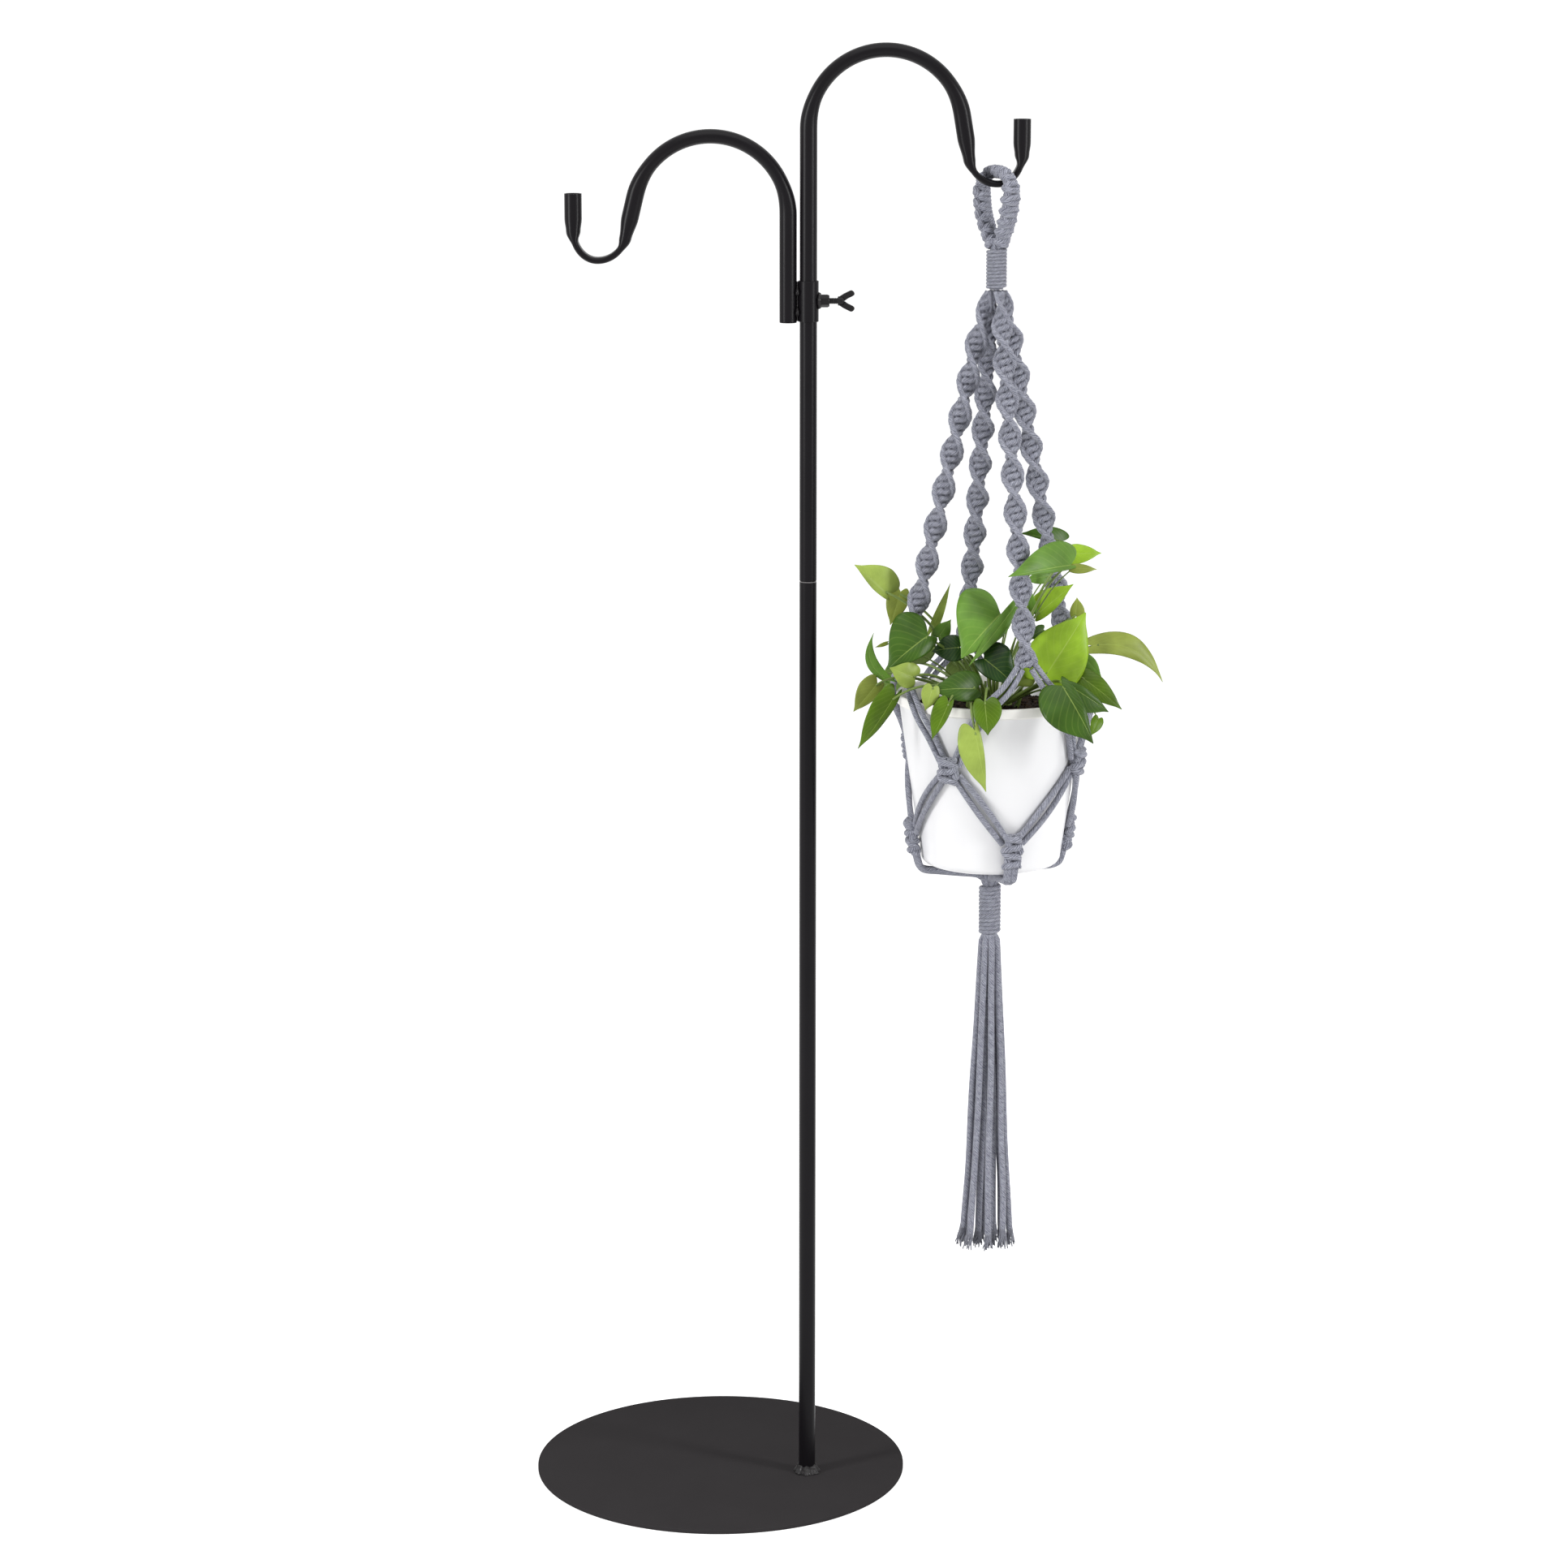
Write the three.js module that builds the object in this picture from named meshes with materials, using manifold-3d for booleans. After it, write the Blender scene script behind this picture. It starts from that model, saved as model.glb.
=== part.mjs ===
// Hanging plant stand: a round steel foot, a two-piece tube pole that ends in a hook,
// a side arm clamped to the pole, and a knotted cord hanger with a potted trailing plant.
// Millimetres, +Z up. Origin: centre of the foot's underside, +X towards the hanging plant.
import * as THREE from 'three';
import Module from 'manifold-3d';
import { mergeVertices } from 'three/addons/utils/BufferGeometryUtils.js';

// ---------------------------------------------------------------- driving dimensions
const GAP = 0.3; // air between pieces that touch
const DEG = Math.PI / 180;

const PLATE = { radius: 180, thick: 4, chamfer: 0.6, segments: 64 };
const POLE_PLACE = { x: 85, y: -30 }; // pole axis: half the plate's radius from its centre
const TUBE = { radius: 8, wall: 1.2, sides: 12 };
const JOINT_Z = 887.5; // where the two lengths of pole meet
const FOOT_WELD = { outer: 12.2, height: 8, lumps: 7, lumpDepth: 0.9, segments: 24 };
const CONNECTOR = { below: 32, above: 30, threadDepth: 0.7, threads: 5, segments: 10 };

// Both hooks: a wide bend, a leaning limb, then a small cup whose bar is pressed flat.
const HOOK = {
  cupRadius: 26.3, tipReach: 22.2, flatHalf: 3.4, flatHalfWidth: 9.3, ovalHalf: 6.9, ovalHalfWidth: 8.8,
  seat: 6 * DEG,
};
const TOP_HOOK = { bendZ: 1306.5, bendRadius: 70.8, lean: 9.5 * DEG, limb: 40.7, tipZ: 1315 };
const SIDE_HOOK = { bendZ: 1228, bendRadius: 71.3, lean: 13.5 * DEG, limb: 39.3, tipZ: 1247.4 };
const SIDE_ARM_X = -18.7; // axis of the side arm's tube, from the pole's axis
const SIDE_ARM_FOOT_Z = 1129;

const COLLAR = { outer: 9.5, bottom: 1130, top: 1167.6, segments: 24 };
const BOLT = { z: 1149, radius: 3, threadEnd: 27.4, ridges: 5, ridgeDepth: 0.45, segments: 12 };
const NUT = { across: 10.4, end: 19.4, chamfer: 0.9 };
const NUT_WELD = { root: 7.6, tip: 6.4, end: 12 };
const WING = { bossRadius: 4.3, bossEnd: 33, thick: 5 };
const WING_OUTLINE = [[27.6, 4], [39.4, 9.4], [42.6, 7.2], [42.2, 4.9], [35.1, 1.2]];
const ARM_WELDS = { upper: 1157.5, lower: 1139, halfX: 4.6, halfY: 7.4, halfZ: 5 };

// Pot: a tapered plastic pot with a rolled rim band.
const POT = {
  top: 782, bottom: 619, rimRadius: 90, band: 9, bandStep: 1.3, footRadius: 65, corner: 8, wall: 2.4,
  segments: 32,
};
const SOIL = { top: 766, domeRise: 3, segments: 20 };

// Hanger: cords of 6 mm, knotted into a loop, four spiral sennits, a net and a tassel.
const LOOP = {
  halfWidth: 8.6, archHalfWidth: 5.4, halfThick: 5.2, bump: 0.9, bumpPitch: 11, stemRadius: 6.4, stemTop: 1209,
  centreZ: 1232, ringSpacing: 4.2,
};
// Shares of the loop's length: half of the arch, its blend into the limbs, and the narrowed necks at the ends.
const LOOP_SHARES = { arch: 0.06, archBlend: 0.16, neck: 0.12, neckWidth: 0.72 };
const TOP_WRAP = { top: 1198, bottom: 1159.6, turns: 11, cordRadius: 1.35 };
const BOTTOM_WRAP = { top: 597.4, bottom: 547.7, turns: 13, cordRadius: 1.5 };
const WRAP_STEPS = 10;
const SENNIT = {
  top: 1158, bottom: 820, startRadius: 7.6, endRadius: 84, halfWidth: 10.9, halfThick: 5.2,
  lobe: 34.7, sides: 6, stepsPerLobe: 4, startScale: 0.45, growLength: 40,
};
const SENNIT_AZIMUTHS = { front: 19, right: 120, back: 194, left: -76 };
const UPPER_KNOT = { z: 722, halfWidth: 11.5, halfHeight: 15, halfDepth: 6.2 };
const LOWER_KNOT = { z: 645, halfWidth: 10.5, halfHeight: 19, halfDepth: 6 };
const UPPER_KNOT_AZIMUTHS = { front_left: -30, front_right: 65, back_right: 155, back_left: 240 };
const LOWER_KNOT_AZIMUTHS = { front: 13, right: 103, back: 193, left: -80 };
const PAIR = { halfWidth: 6.1, halfThick: 3, sides: 6, spread: 4.6 };
const RIM_CROSSING = { z: 786, clear: 0.9 };
// A pair that goes over the rim: its share of the turn where it sags, at the rim, below it and on the wall.
const OVER_RIM = { sag: 0.22, sagOut: 6, rim: 0.46, below: 0.64, belowZ: 770, wall: 0.82, wallZ: 750 };
const UNDER_CORD = { startBelow: 12, startHalfWidth: 7, endHalfWidth: 4.8 };
const GATHER = { z: 606, radius: 8, underPot: 1.2 };
const TASSEL = { bottom: 236, flutes: 11, fluteDepth: 2.6, spreadX: 24.6, spreadY: 18, topSpread: 9.6 };
// Down the tassel: share of its length and share of its full spread.
const TASSEL_GROWTH = [[0.1, 0.12], [0.2, 0.2], [0.4, 0.36], [0.75, 0.72], [1, 1]];

// Plant: leaves on bent stalks from a crown on the soil, placed from the pot's axis.
const CROWN = { height: 12, radius: 28, segments: 8 };
const STALK = { radius: 1.3, sides: 3, steps: 3, root: 0.18, overRim: 815, rimLevel: 812 };
const LEAF_HALF_THICK = 0.7;
// Along a leaf: place of the edges, place of the midrib, share of the full width.
const LEAF_STATIONS = [
  [-0.1, 0.03, 0.5], [0.06, 0.08, 0.9], [0.3, 0.3, 1], [0.56, 0.56, 0.78], [0.8, 0.8, 0.34], [1, 1, 0.03],
];
// Each leaf: where its stalk joins, its tip, its width on either side of the midrib, how far one side
// leans forward, how far the blade arches, how far the midrib bows sideways, and the stalk's turn.
const LEAVES = [
  [[-98, -8, 876], [-130, -14, 905], [19, 6], -0.3, 3, 0],
  [[-86, 10, 877], [-96, 4, 845], [11, 10], 0, 2, 0],
  [[-61, -44, 844], [-100, -60, 815], [31, 12], -0.35, 5, 0],
  [[-58, 4, 837], [-40, -2, 886], [5, 4], 0, 2, 0],
  [[6, -44, 865], [-32, -70, 827], [38, 15], -0.35, 5, 0],
  [[-100, -34, 800], [-112, -26, 843], [7, 5], 0, 1, -10],
  [[-108, -38, 798], [-131, -42, 771], [13, 8], 0, 2, 0],
  [[-92, -62, 792], [-127, -68, 741], [15, 6], 0.2, 4, 0, 14],
  [[-74, -58, 806], [-98, -66, 817], [12, 12], -0.3, 2, 0],
  [[-17, -76, 799], [-61, -90, 800], [16, 11], -0.5, 4, 0],
  [[-44, -98, 791], [-60, -104, 757], [12, 5], 0, 2, 0],
  [[-12, -104, 793], [-9, -109, 762], [12, 15], 0, 3, 0],
  [[-21, -106, 768], [-10, -109, 709], [18, 5], 0, 3, 0, -12],
  [[-12, -58, 825], [17, -64, 801], [12, 22], 0.3, 4, 0],
  [[-31, -36, 831], [-58, -30, 826], [12, 12], -0.4, 3, 0],
  [[19, -48, 873], [-26, -76, 820], [6, 7], 0, 1, 0],
  [[44, -56, 804], [84, -44, 865], [29, 28], 0, 4, 0],
  [[59, -88, 806], [88, -110, 755], [29, 9], 0.3, 5, 0, 16],
  [[69, -74, 801], [105, -68, 776], [16, 6], 0.3, 3, 0],
  [[79, -48, 806], [118, -56, 776], [10, 11], 0.4, 3, 0],
  [[89, -20, 829], [160, -8, 793], [9, 13], 0.5, 4, -13],
  [[71, -46, 910], [10, -84, 905], [23, 4], -0.4, 4, 0],
  [[70, 58, 916], [27, 50, 925], [11, 3], -0.4, 3, 0, 30],
  [[67, -4, 913], [101, 0, 914], [9, 9], 0.4, 2, 0],
  [[40, -12, 857], [74, -16, 887], [7, 15], 0.2, 2, 0],
  [[42, 91, 800], [50, 108, 752], [16, 14], 0, 4, 0],
  [[-24, 99, 796], [-28, 112, 752], [15, 15], 0, 4, 0],
  [[-82, 57, 799], [-98, 72, 756], [14, 13], 0, 3, 0],
  [[-8, 50, 842], [-14, 78, 812], [19, 18], 0, 4, 0],
  [[-62, 30, 826], [-80, 44, 800], [15, 15], 0.2, 3, 0],
];

const STEEL = { color: 0x1b1a1c, roughness: 0.45, metalness: 0.6 };
const ZINC_BLACK = { color: 0x161616, roughness: 0.55, metalness: 0.7 };
const COTTON = { color: 0x858896, roughness: 0.95, metalness: 0 };
const PLASTIC = { color: 0xf2f2f0, roughness: 0.3, metalness: 0 };
const EARTH = { color: 0x2b211b, roughness: 1, metalness: 0 };
const FOLIAGE = { color: 0x5c8c2e, roughness: 0.4, metalness: 0 };

// ---------------------------------------------------------------- mesh helpers
const wasm = await Module();
wasm.setup();

function signedVolume(vertices, index) {
  let sum = 0;
  for (let i = 0; i < index.length; i += 3) {
    const [a, b, c] = [vertices[index[i]], vertices[index[i + 1]], vertices[index[i + 2]]];
    sum += a.dot(b.clone().cross(c)) / 6;
  }
  return sum;
}

// A closed surface as a geometry with its faces turned outwards.
function closedGeometry(vertices, index) {
  const outward = signedVolume(vertices, index) < 0 ? index.slice().reverse() : index;
  const geometry = new THREE.BufferGeometry();
  const numbers = vertices.flatMap((v) => [v.x, v.y, v.z]);
  geometry.setAttribute('position', new THREE.Float32BufferAttribute(numbers, 3));
  geometry.setIndex(outward);
  geometry.computeVertexNormals();
  return geometry;
}

function skin(index, first, second, count, flip) {
  for (let i = 0; i < count; i++) {
    const j = (i + 1) % count;
    const quad = [first + i, first + j, second + j, second + i];
    const [a, b, c, d] = flip ? quad.reverse() : quad;
    index.push(a, b, c, a, c, d);
  }
}

// A solid skinned over rings with the same number of points, closed by a fan at each end.
function loft(rings) {
  const count = rings[0].length;
  const vertices = rings.flat();
  const index = [];
  for (let r = 0; r + 1 < rings.length; r++) skin(index, r * count, (r + 1) * count, count, false);
  for (const [ring, flip] of [[0, false], [rings.length - 1, true]]) {
    const centre = new THREE.Vector3();
    for (const v of rings[ring]) centre.addScaledVector(v, 1 / count);
    vertices.push(centre);
    for (let i = 0; i < count; i++) {
      const edge = [ring * count + i, ring * count + (i + 1) % count];
      if (flip) edge.reverse();
      index.push(vertices.length - 1, edge[1], edge[0]);
    }
  }
  return closedGeometry(vertices, index);
}

// A tube with a bore: an outer and an inner skin, joined by a flat ring at each end.
function loftTube(outer, inner) {
  const count = outer[0].length;
  const vertices = [...outer.flat(), ...inner.flat()];
  const bore = outer.length * count;
  const index = [];
  for (let r = 0; r + 1 < outer.length; r++) {
    skin(index, r * count, (r + 1) * count, count, false);
    skin(index, bore + r * count, bore + (r + 1) * count, count, true);
  }
  const last = (outer.length - 1) * count;
  skin(index, 0, bore, count, true);
  skin(index, last, bore + last, count, false);
  return closedGeometry(vertices, index);
}

function toSolid(geometry) {
  const bare = geometry.clone();
  bare.deleteAttribute('normal');
  bare.deleteAttribute('uv');
  const merged = mergeVertices(bare, 1e-4);
  return new wasm.Manifold(new wasm.Mesh({
    numProp: 3,
    vertProperties: merged.attributes.position.array,
    triVerts: Uint32Array.from(merged.index.array),
  }));
}

function toGeometry(solid) {
  const { numProp, vertProperties, triVerts } = solid.getMesh();
  const points = new THREE.InterleavedBuffer(vertProperties, numProp);
  const geometry = new THREE.BufferGeometry();
  const position = new THREE.Float32BufferAttribute(points.count * 3, 3);
  for (let i = 0; i < points.count; i++) {
    position.setXYZ(i, ...vertProperties.subarray(i * numProp, i * numProp + 3));
  }
  geometry.setAttribute('position', position);
  geometry.setIndex([...triVerts]);
  geometry.computeVertexNormals();
  return geometry;
}

// base joined with every geometry of joins, then cut by every geometry of cuts.
function carve(base, joins, cuts) {
  let solid = toSolid(base);
  for (const geometry of joins) solid = solid.add(toSolid(geometry));
  for (const geometry of cuts) solid = solid.subtract(toSolid(geometry));
  return toGeometry(solid);
}

// A profile of [radius, height] pairs turned about Z.
function turned(profile, segments) {
  const points = profile.map(([r, z]) => new THREE.Vector2(r, z));
  return new THREE.LatheGeometry(points, segments).rotateX(Math.PI / 2);
}

function rod(radius, from, to, segments) {
  return turned([[0, from], [radius, from], [radius, to], [0, to]], segments);
}

// A rod or turned shape laid along +X at a height.
function alongX(geometry, z) {
  return geometry.rotateY(Math.PI / 2).translate(0, 0, z);
}

function part(name, geometry, finish) {
  const mesh = new THREE.Mesh(geometry, new THREE.MeshStandardMaterial(finish));
  mesh.name = name;
  return mesh;
}

const smooth = (t) => THREE.MathUtils.smoothstep(t, 0, 1);
const mix = THREE.MathUtils.lerp;

// ---------------------------------------------------------------- pole, foot and hooks
function basePlate() {
  const { radius, thick, chamfer, segments } = PLATE;
  const profile = [
    [0, 0], [radius - chamfer, 0], [radius, chamfer], [radius, thick - chamfer], [radius - chamfer, thick],
    [0, thick],
  ];
  return part('base_plate', turned(profile, segments), STEEL);
}

// The bead round the pole's foot: a fillet whose edge swells and shrinks like hand welding.
function footWeld() {
  const { outer, height, lumps, lumpDepth, segments } = FOOT_WELD;
  const inner = TUBE.radius + GAP;
  const floor = PLATE.thick + GAP;
  const rings = [];
  for (let i = 0; i < segments; i++) {
    const angle = (i / segments) * 2 * Math.PI;
    const swell = lumpDepth * (Math.sin(lumps * angle) + 0.6 * Math.sin((2 * lumps - 3) * angle + 1));
    const reach = outer + swell;
    const top = floor + height + 0.7 * swell;
    const profile = [
      [inner, floor], [reach, floor], [reach - 0.8, floor + 1.8], [mix(inner, reach, 0.45), mix(floor, top, 0.6)],
      [inner + 0.8, top], [inner, top],
    ];
    rings.push(profile.map(([r, z]) => new THREE.Vector3(r * Math.cos(angle), r * Math.sin(angle), z)));
  }
  const count = rings[0].length;
  const index = [];
  for (let i = 0; i < segments; i++) skin(index, i * count, ((i + 1) % segments) * count, count, false);
  return part('foot_weld', closedGeometry(rings.flat(), index), STEEL);
}

function lowerPole() {
  const { radius, wall, sides } = TUBE;
  const profile = [
    [radius - wall, PLATE.thick + GAP], [radius, PLATE.thick + GAP], [radius, JOINT_Z], [radius - wall, JOINT_Z],
    [radius - wall, PLATE.thick + GAP],
  ];
  return part('lower_pole', turned(profile, 2 * sides), STEEL);
}

// The threaded stud hidden inside the two tubes where they screw together.
function poleConnector() {
  const { below, above, threadDepth, threads, segments } = CONNECTOR;
  const radius = TUBE.radius - TUBE.wall - GAP;
  const profile = [[0, JOINT_Z - below], [radius, JOINT_Z - below], [radius, JOINT_Z]];
  const pitch = above / (threads + 1);
  for (let i = 1; i <= threads; i++) {
    const z = JOINT_Z + i * pitch;
    profile.push([radius, z - pitch / 2], [radius - threadDepth, z]);
  }
  profile.push([radius - threadDepth, JOINT_Z + above], [0, JOINT_Z + above]);
  return part('pole_connector', turned(profile, segments), ZINC_BLACK);
}

// Stations along a hook: place, direction, how oval the bend is and how flat the cup is.
// The bar's lowest stretch, `seat` to either side of the bottom, is straight and level.
function hookStations({ bendZ, bendRadius, lean, limb, tipZ }, footZ) {
  const { cupRadius, tipReach, seat } = HOOK;
  const bend = new THREE.EllipseCurve(bendRadius, bendZ, bendRadius, bendRadius, Math.PI, lean, true);
  const limbStart = bend.getPoint(1);
  const limbEnd = limbStart.clone().add(new THREE.Vector2(Math.sin(lean), -Math.cos(lean)).multiplyScalar(limb));
  const cup = new THREE.Vector2(Math.cos(lean), Math.sin(lean)).multiplyScalar(cupRadius).add(limbEnd);
  const low = 1.5 * Math.PI;
  const stretches = [
    [new THREE.LineCurve(new THREE.Vector2(0, footZ), new THREE.Vector2(0, bendZ)), 1, () => 0, () => 0],
    [bend, 13, (t) => smooth(6 * t) * smooth(6 * (1 - t)), () => 0],
    [new THREE.LineCurve(limbStart, limbEnd), 3, () => 0, (t) => 0.45 * smooth((t - 0.5) / 0.5)],
    [new THREE.EllipseCurve(cup.x, cup.y, cupRadius, cupRadius, Math.PI + lean, low - seat, false), 5, () => 0,
      (t) => mix(0.45, 1, smooth(t / 0.45))],
    [new THREE.EllipseCurve(cup.x, cup.y, tipReach, cupRadius, low + seat, 2 * Math.PI, false), 6, () => 0,
      (t) => mix(1, 0.25, smooth((t - 0.72) / 0.28)), 0],
    [new THREE.LineCurve(new THREE.Vector2(cup.x + tipReach, cup.y), new THREE.Vector2(cup.x + tipReach, tipZ)), 3,
      () => 0, (t) => 0.25 * smooth(1 - 3 * t)],
  ];
  const stations = [];
  for (const [curve, steps, oval, flat, first = 1] of stretches) {
    for (let i = stations.length ? first : 0; i <= steps; i++) {
      const t = i / steps;
      stations.push({ point: curve.getPoint(t), along: curve.getTangent(t), oval: oval(t), flat: flat(t) });
    }
  }
  return { stations, cup };
}

// One ring of a hook's wall: round, oval in the bend, a rounded bar in the cup.
function hookRing({ point, along, oval, flat }, inset, side, offsetX) {
  const half = mix(mix(TUBE.radius, HOOK.ovalHalf, oval), HOOK.flatHalf, flat) - inset;
  const halfWidth = mix(mix(TUBE.radius, HOOK.ovalHalfWidth, oval), HOOK.flatHalfWidth, flat) - inset;
  const power = 2 / mix(2, 2.5, flat);
  const ring = [];
  for (let i = 0; i < TUBE.sides; i++) {
    const angle = ((i + 0.5) / TUBE.sides) * 2 * Math.PI;
    const [c, s] = [Math.cos(angle), Math.sin(angle)];
    const across = half * Math.sign(c) * Math.abs(c) ** power;
    const u = point.x - along.y * across;
    const z = point.y + along.x * across;
    ring.push(new THREE.Vector3(offsetX + side * u, halfWidth * Math.sign(s) * Math.abs(s) ** power, z));
  }
  return ring;
}

function hookTube(name, spec, footZ, side, offsetX) {
  const { stations } = hookStations(spec, footZ);
  const outer = stations.map((station) => hookRing(station, 0, side, offsetX));
  const inner = stations.map((station) => hookRing(station, TUBE.wall, side, offsetX));
  return part(name, loftTube(outer, inner), STEEL);
}

// ---------------------------------------------------------------- clamp on the pole
function clampCollar() {
  const { outer, bottom, top, segments } = COLLAR;
  const bore = TUBE.radius + GAP;
  const ring = turned([[bore, bottom], [outer, bottom], [outer, top], [bore, top], [bore, bottom]], segments);
  const hole = alongX(rod(BOLT.radius + GAP, 0, 2 * outer, BOLT.segments), BOLT.z);
  return part('clamp_collar', carve(ring, [], [hole]), STEEL);
}

function collarClearance() {
  return rod(COLLAR.outer + GAP, COLLAR.bottom - 5, COLLAR.top + 5, COLLAR.segments);
}

function armWeld(name, z) {
  const bead = new THREE.SphereGeometry(1, 12, 8)
    .scale(ARM_WELDS.halfX, ARM_WELDS.halfY, ARM_WELDS.halfZ)
    .translate((SIDE_ARM_X + TUBE.radius - COLLAR.outer) / 2, 0, z);
  const arm = rod(TUBE.radius + GAP, z - 20, z + 20, 28).translate(SIDE_ARM_X, 0, 0);
  return part(name, carve(bead, [], [collarClearance(), arm]), STEEL);
}

function nutBody(extra) {
  const { across, end, chamfer } = NUT;
  const corner = across / Math.sqrt(3) + extra;
  const prism = alongX(rod(corner, 0, end + extra, 6).rotateZ(Math.PI / 6), BOLT.z);
  const start = end + extra - 2 * chamfer;
  const envelope = [[0, 0], [corner, 0], [corner, start], [corner - chamfer, end + extra], [0, end + extra]];
  return { prism, envelope: alongX(turned(envelope, 18), BOLT.z) };
}

function weldNut() {
  const { prism, envelope } = nutBody(0);
  const bore = alongX(rod(BOLT.radius + GAP, 0, 30, BOLT.segments), BOLT.z);
  const solid = toSolid(prism).intersect(toSolid(envelope)).subtract(toSolid(bore));
  return part('weld_nut', toGeometry(solid.subtract(toSolid(collarClearance()))), ZINC_BLACK);
}

function nutWeld() {
  const { root, tip, end } = NUT_WELD;
  const bead = turned([[0, 4], [root, 4], [root, 9], [tip, end], [0, end]], 14);
  return part('nut_weld', carve(alongX(bead, BOLT.z), [], [collarClearance(), nutBody(GAP).prism]), STEEL);
}

// Wing bolt: its tip presses on the pole, its wings spread in a V.
function wingBolt() {
  const { radius, threadEnd, ridges, ridgeDepth, segments } = BOLT;
  const tipX = TUBE.radius + GAP;
  const start = NUT.end;
  const pitch = (threadEnd - start) / ridges;
  const profile = [[0, tipX], [radius - 0.5, tipX], [radius, tipX + 0.5], [radius, start]];
  for (let i = 0; i < ridges; i++) {
    profile.push([radius - ridgeDepth, start + (i + 0.5) * pitch], [radius, start + (i + 1) * pitch]);
  }
  profile.push([WING.bossRadius, threadEnd], [WING.bossRadius, WING.bossEnd], [0, WING.bossEnd]);
  const mirrored = WING_OUTLINE.map(([x, z]) => [x, -z]).reverse();
  const outline = new THREE.Shape([...WING_OUTLINE, ...mirrored].map(([x, z]) => new THREE.Vector2(x, z)));
  const wings = new THREE.ExtrudeGeometry(outline, { depth: WING.thick, bevelEnabled: false });
  wings.rotateX(Math.PI / 2).translate(0, WING.thick / 2, BOLT.z);
  return part('wing_bolt', carve(alongX(turned(profile, segments), BOLT.z), [wings], []), ZINC_BLACK);
}

// ---------------------------------------------------------------- pot and soil
// Outer radius of the pot's tapered wall at a height, without the rim band.
function wallRadius(z) {
  const t = (z - POT.bottom) / (POT.top - POT.bottom);
  return mix(POT.footRadius, POT.rimRadius - POT.bandStep, t);
}

function pot() {
  const { top, bottom, rimRadius, band, corner, wall, segments } = POT;
  const bandZ = top - band;
  const profile = [[0, bottom]];
  for (let i = 0; i <= 3; i++) {
    const angle = (i / 3) * (Math.PI / 2);
    const cornerZ = bottom + corner;
    profile.push([wallRadius(cornerZ) - corner * (1 - Math.sin(angle)), cornerZ - corner * Math.cos(angle)]);
  }
  profile.push([wallRadius(bandZ - 1), bandZ - 1], [rimRadius, bandZ], [rimRadius, top - 1], [rimRadius - 1, top]);
  profile.push([rimRadius - wall - 1, top], [wallRadius(bandZ) - wall, bandZ]);
  profile.push([wallRadius(bottom + corner) - wall, bottom + corner], [wallRadius(bottom) - corner, bottom + wall]);
  profile.push([0, bottom + wall]);
  return part('pot', turned(profile, segments), PLASTIC);
}

function soil() {
  const { top, domeRise, segments } = SOIL;
  const { bottom, wall, corner } = POT;
  const inner = (z) => wallRadius(z) - wall - 2 * GAP;
  const floor = bottom + wall + GAP;
  const profile = [
    [0, floor], [inner(bottom) - corner, floor], [inner(bottom + corner) - 1, bottom + corner],
    [inner(top) - 0.5, top - 1], [inner(top) - 12, top + 1], [inner(top) * 0.5, top + domeRise], [0, top + domeRise],
  ];
  return part('soil', turned(profile, segments), EARTH);
}

// ---------------------------------------------------------------- knotted cord hanger
// A point by azimuth (degrees from the front, turning right), distance from the axis and height.
function around(azimuth, radius, z) {
  const angle = azimuth * DEG;
  return new THREE.Vector3(radius * Math.sin(angle), -radius * Math.cos(angle), z);
}

// A band along a curve: at every step an ellipse, wide across `facing` and turned by `twist`.
function band(curve, steps, sides, facing, size, twist = () => 0) {
  const rings = [];
  for (let i = 0; i <= steps; i++) {
    const t = i / steps;
    const centre = curve.getPointAt(t);
    const along = curve.getTangentAt(t);
    const out = facing(t, centre).clone();
    out.addScaledVector(along, -out.dot(along)).normalize();
    const across = along.clone().cross(out);
    const [halfWidth, halfThick] = size(t);
    const turn = twist(t);
    const ring = [];
    for (let k = 0; k < sides; k++) {
      const angle = ((k + 0.5) / sides) * 2 * Math.PI;
      const [w, n] = [halfWidth * Math.cos(angle), halfThick * Math.sin(angle)];
      const x = w * Math.cos(turn) - n * Math.sin(turn);
      const y = w * Math.sin(turn) + n * Math.cos(turn);
      ring.push(centre.clone().addScaledVector(across, x).addScaledVector(out, y));
    }
    rings.push(ring);
  }
  return loft(rings);
}

// The smallest distance between the surfaces of two different turns of a wound cord.
function leastGap(points, radius, stepsPerTurn) {
  let least = Infinity;
  for (let i = 0; i < points.length; i++) {
    for (let j = i + Math.ceil(stepsPerTurn / 2); j < points.length; j++) {
      least = Math.min(least, points[i].distanceTo(points[j]));
    }
  }
  return least - 2 * radius;
}

// A cord wound round a bundle in one unbroken helix.
function wrap(name, { top, bottom, turns, cordRadius }) {
  const pathRadius = (LOOP.stemRadius + GAP + cordRadius) / Math.cos(Math.PI / WRAP_STEPS);
  const length = top - bottom - 2 * cordRadius;
  const points = [];
  for (let i = 0; i <= turns * WRAP_STEPS; i++) {
    const t = i / (turns * WRAP_STEPS);
    points.push(around((360 * i) / WRAP_STEPS, pathRadius, top - cordRadius - t * length));
  }
  console.log(`${name}: least gap between turns ${leastGap(points, cordRadius, WRAP_STEPS).toFixed(2)} mm`);
  const up = new THREE.Vector3(0, 0, 1);
  const rings = points.map((centre, i) => {
    const out = new THREE.Vector3(centre.x, centre.y, 0).normalize();
    const ring = [];
    for (let k = 0; k < 5; k++) {
      const angle = (k / 5) * 2 * Math.PI;
      const offset = out.clone().multiplyScalar(Math.cos(angle)).addScaledVector(up, Math.sin(angle));
      ring.push(centre.clone().addScaledVector(offset, cordRadius));
    }
    return ring;
  });
  return part(name, loft(rings), COTTON);
}

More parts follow.
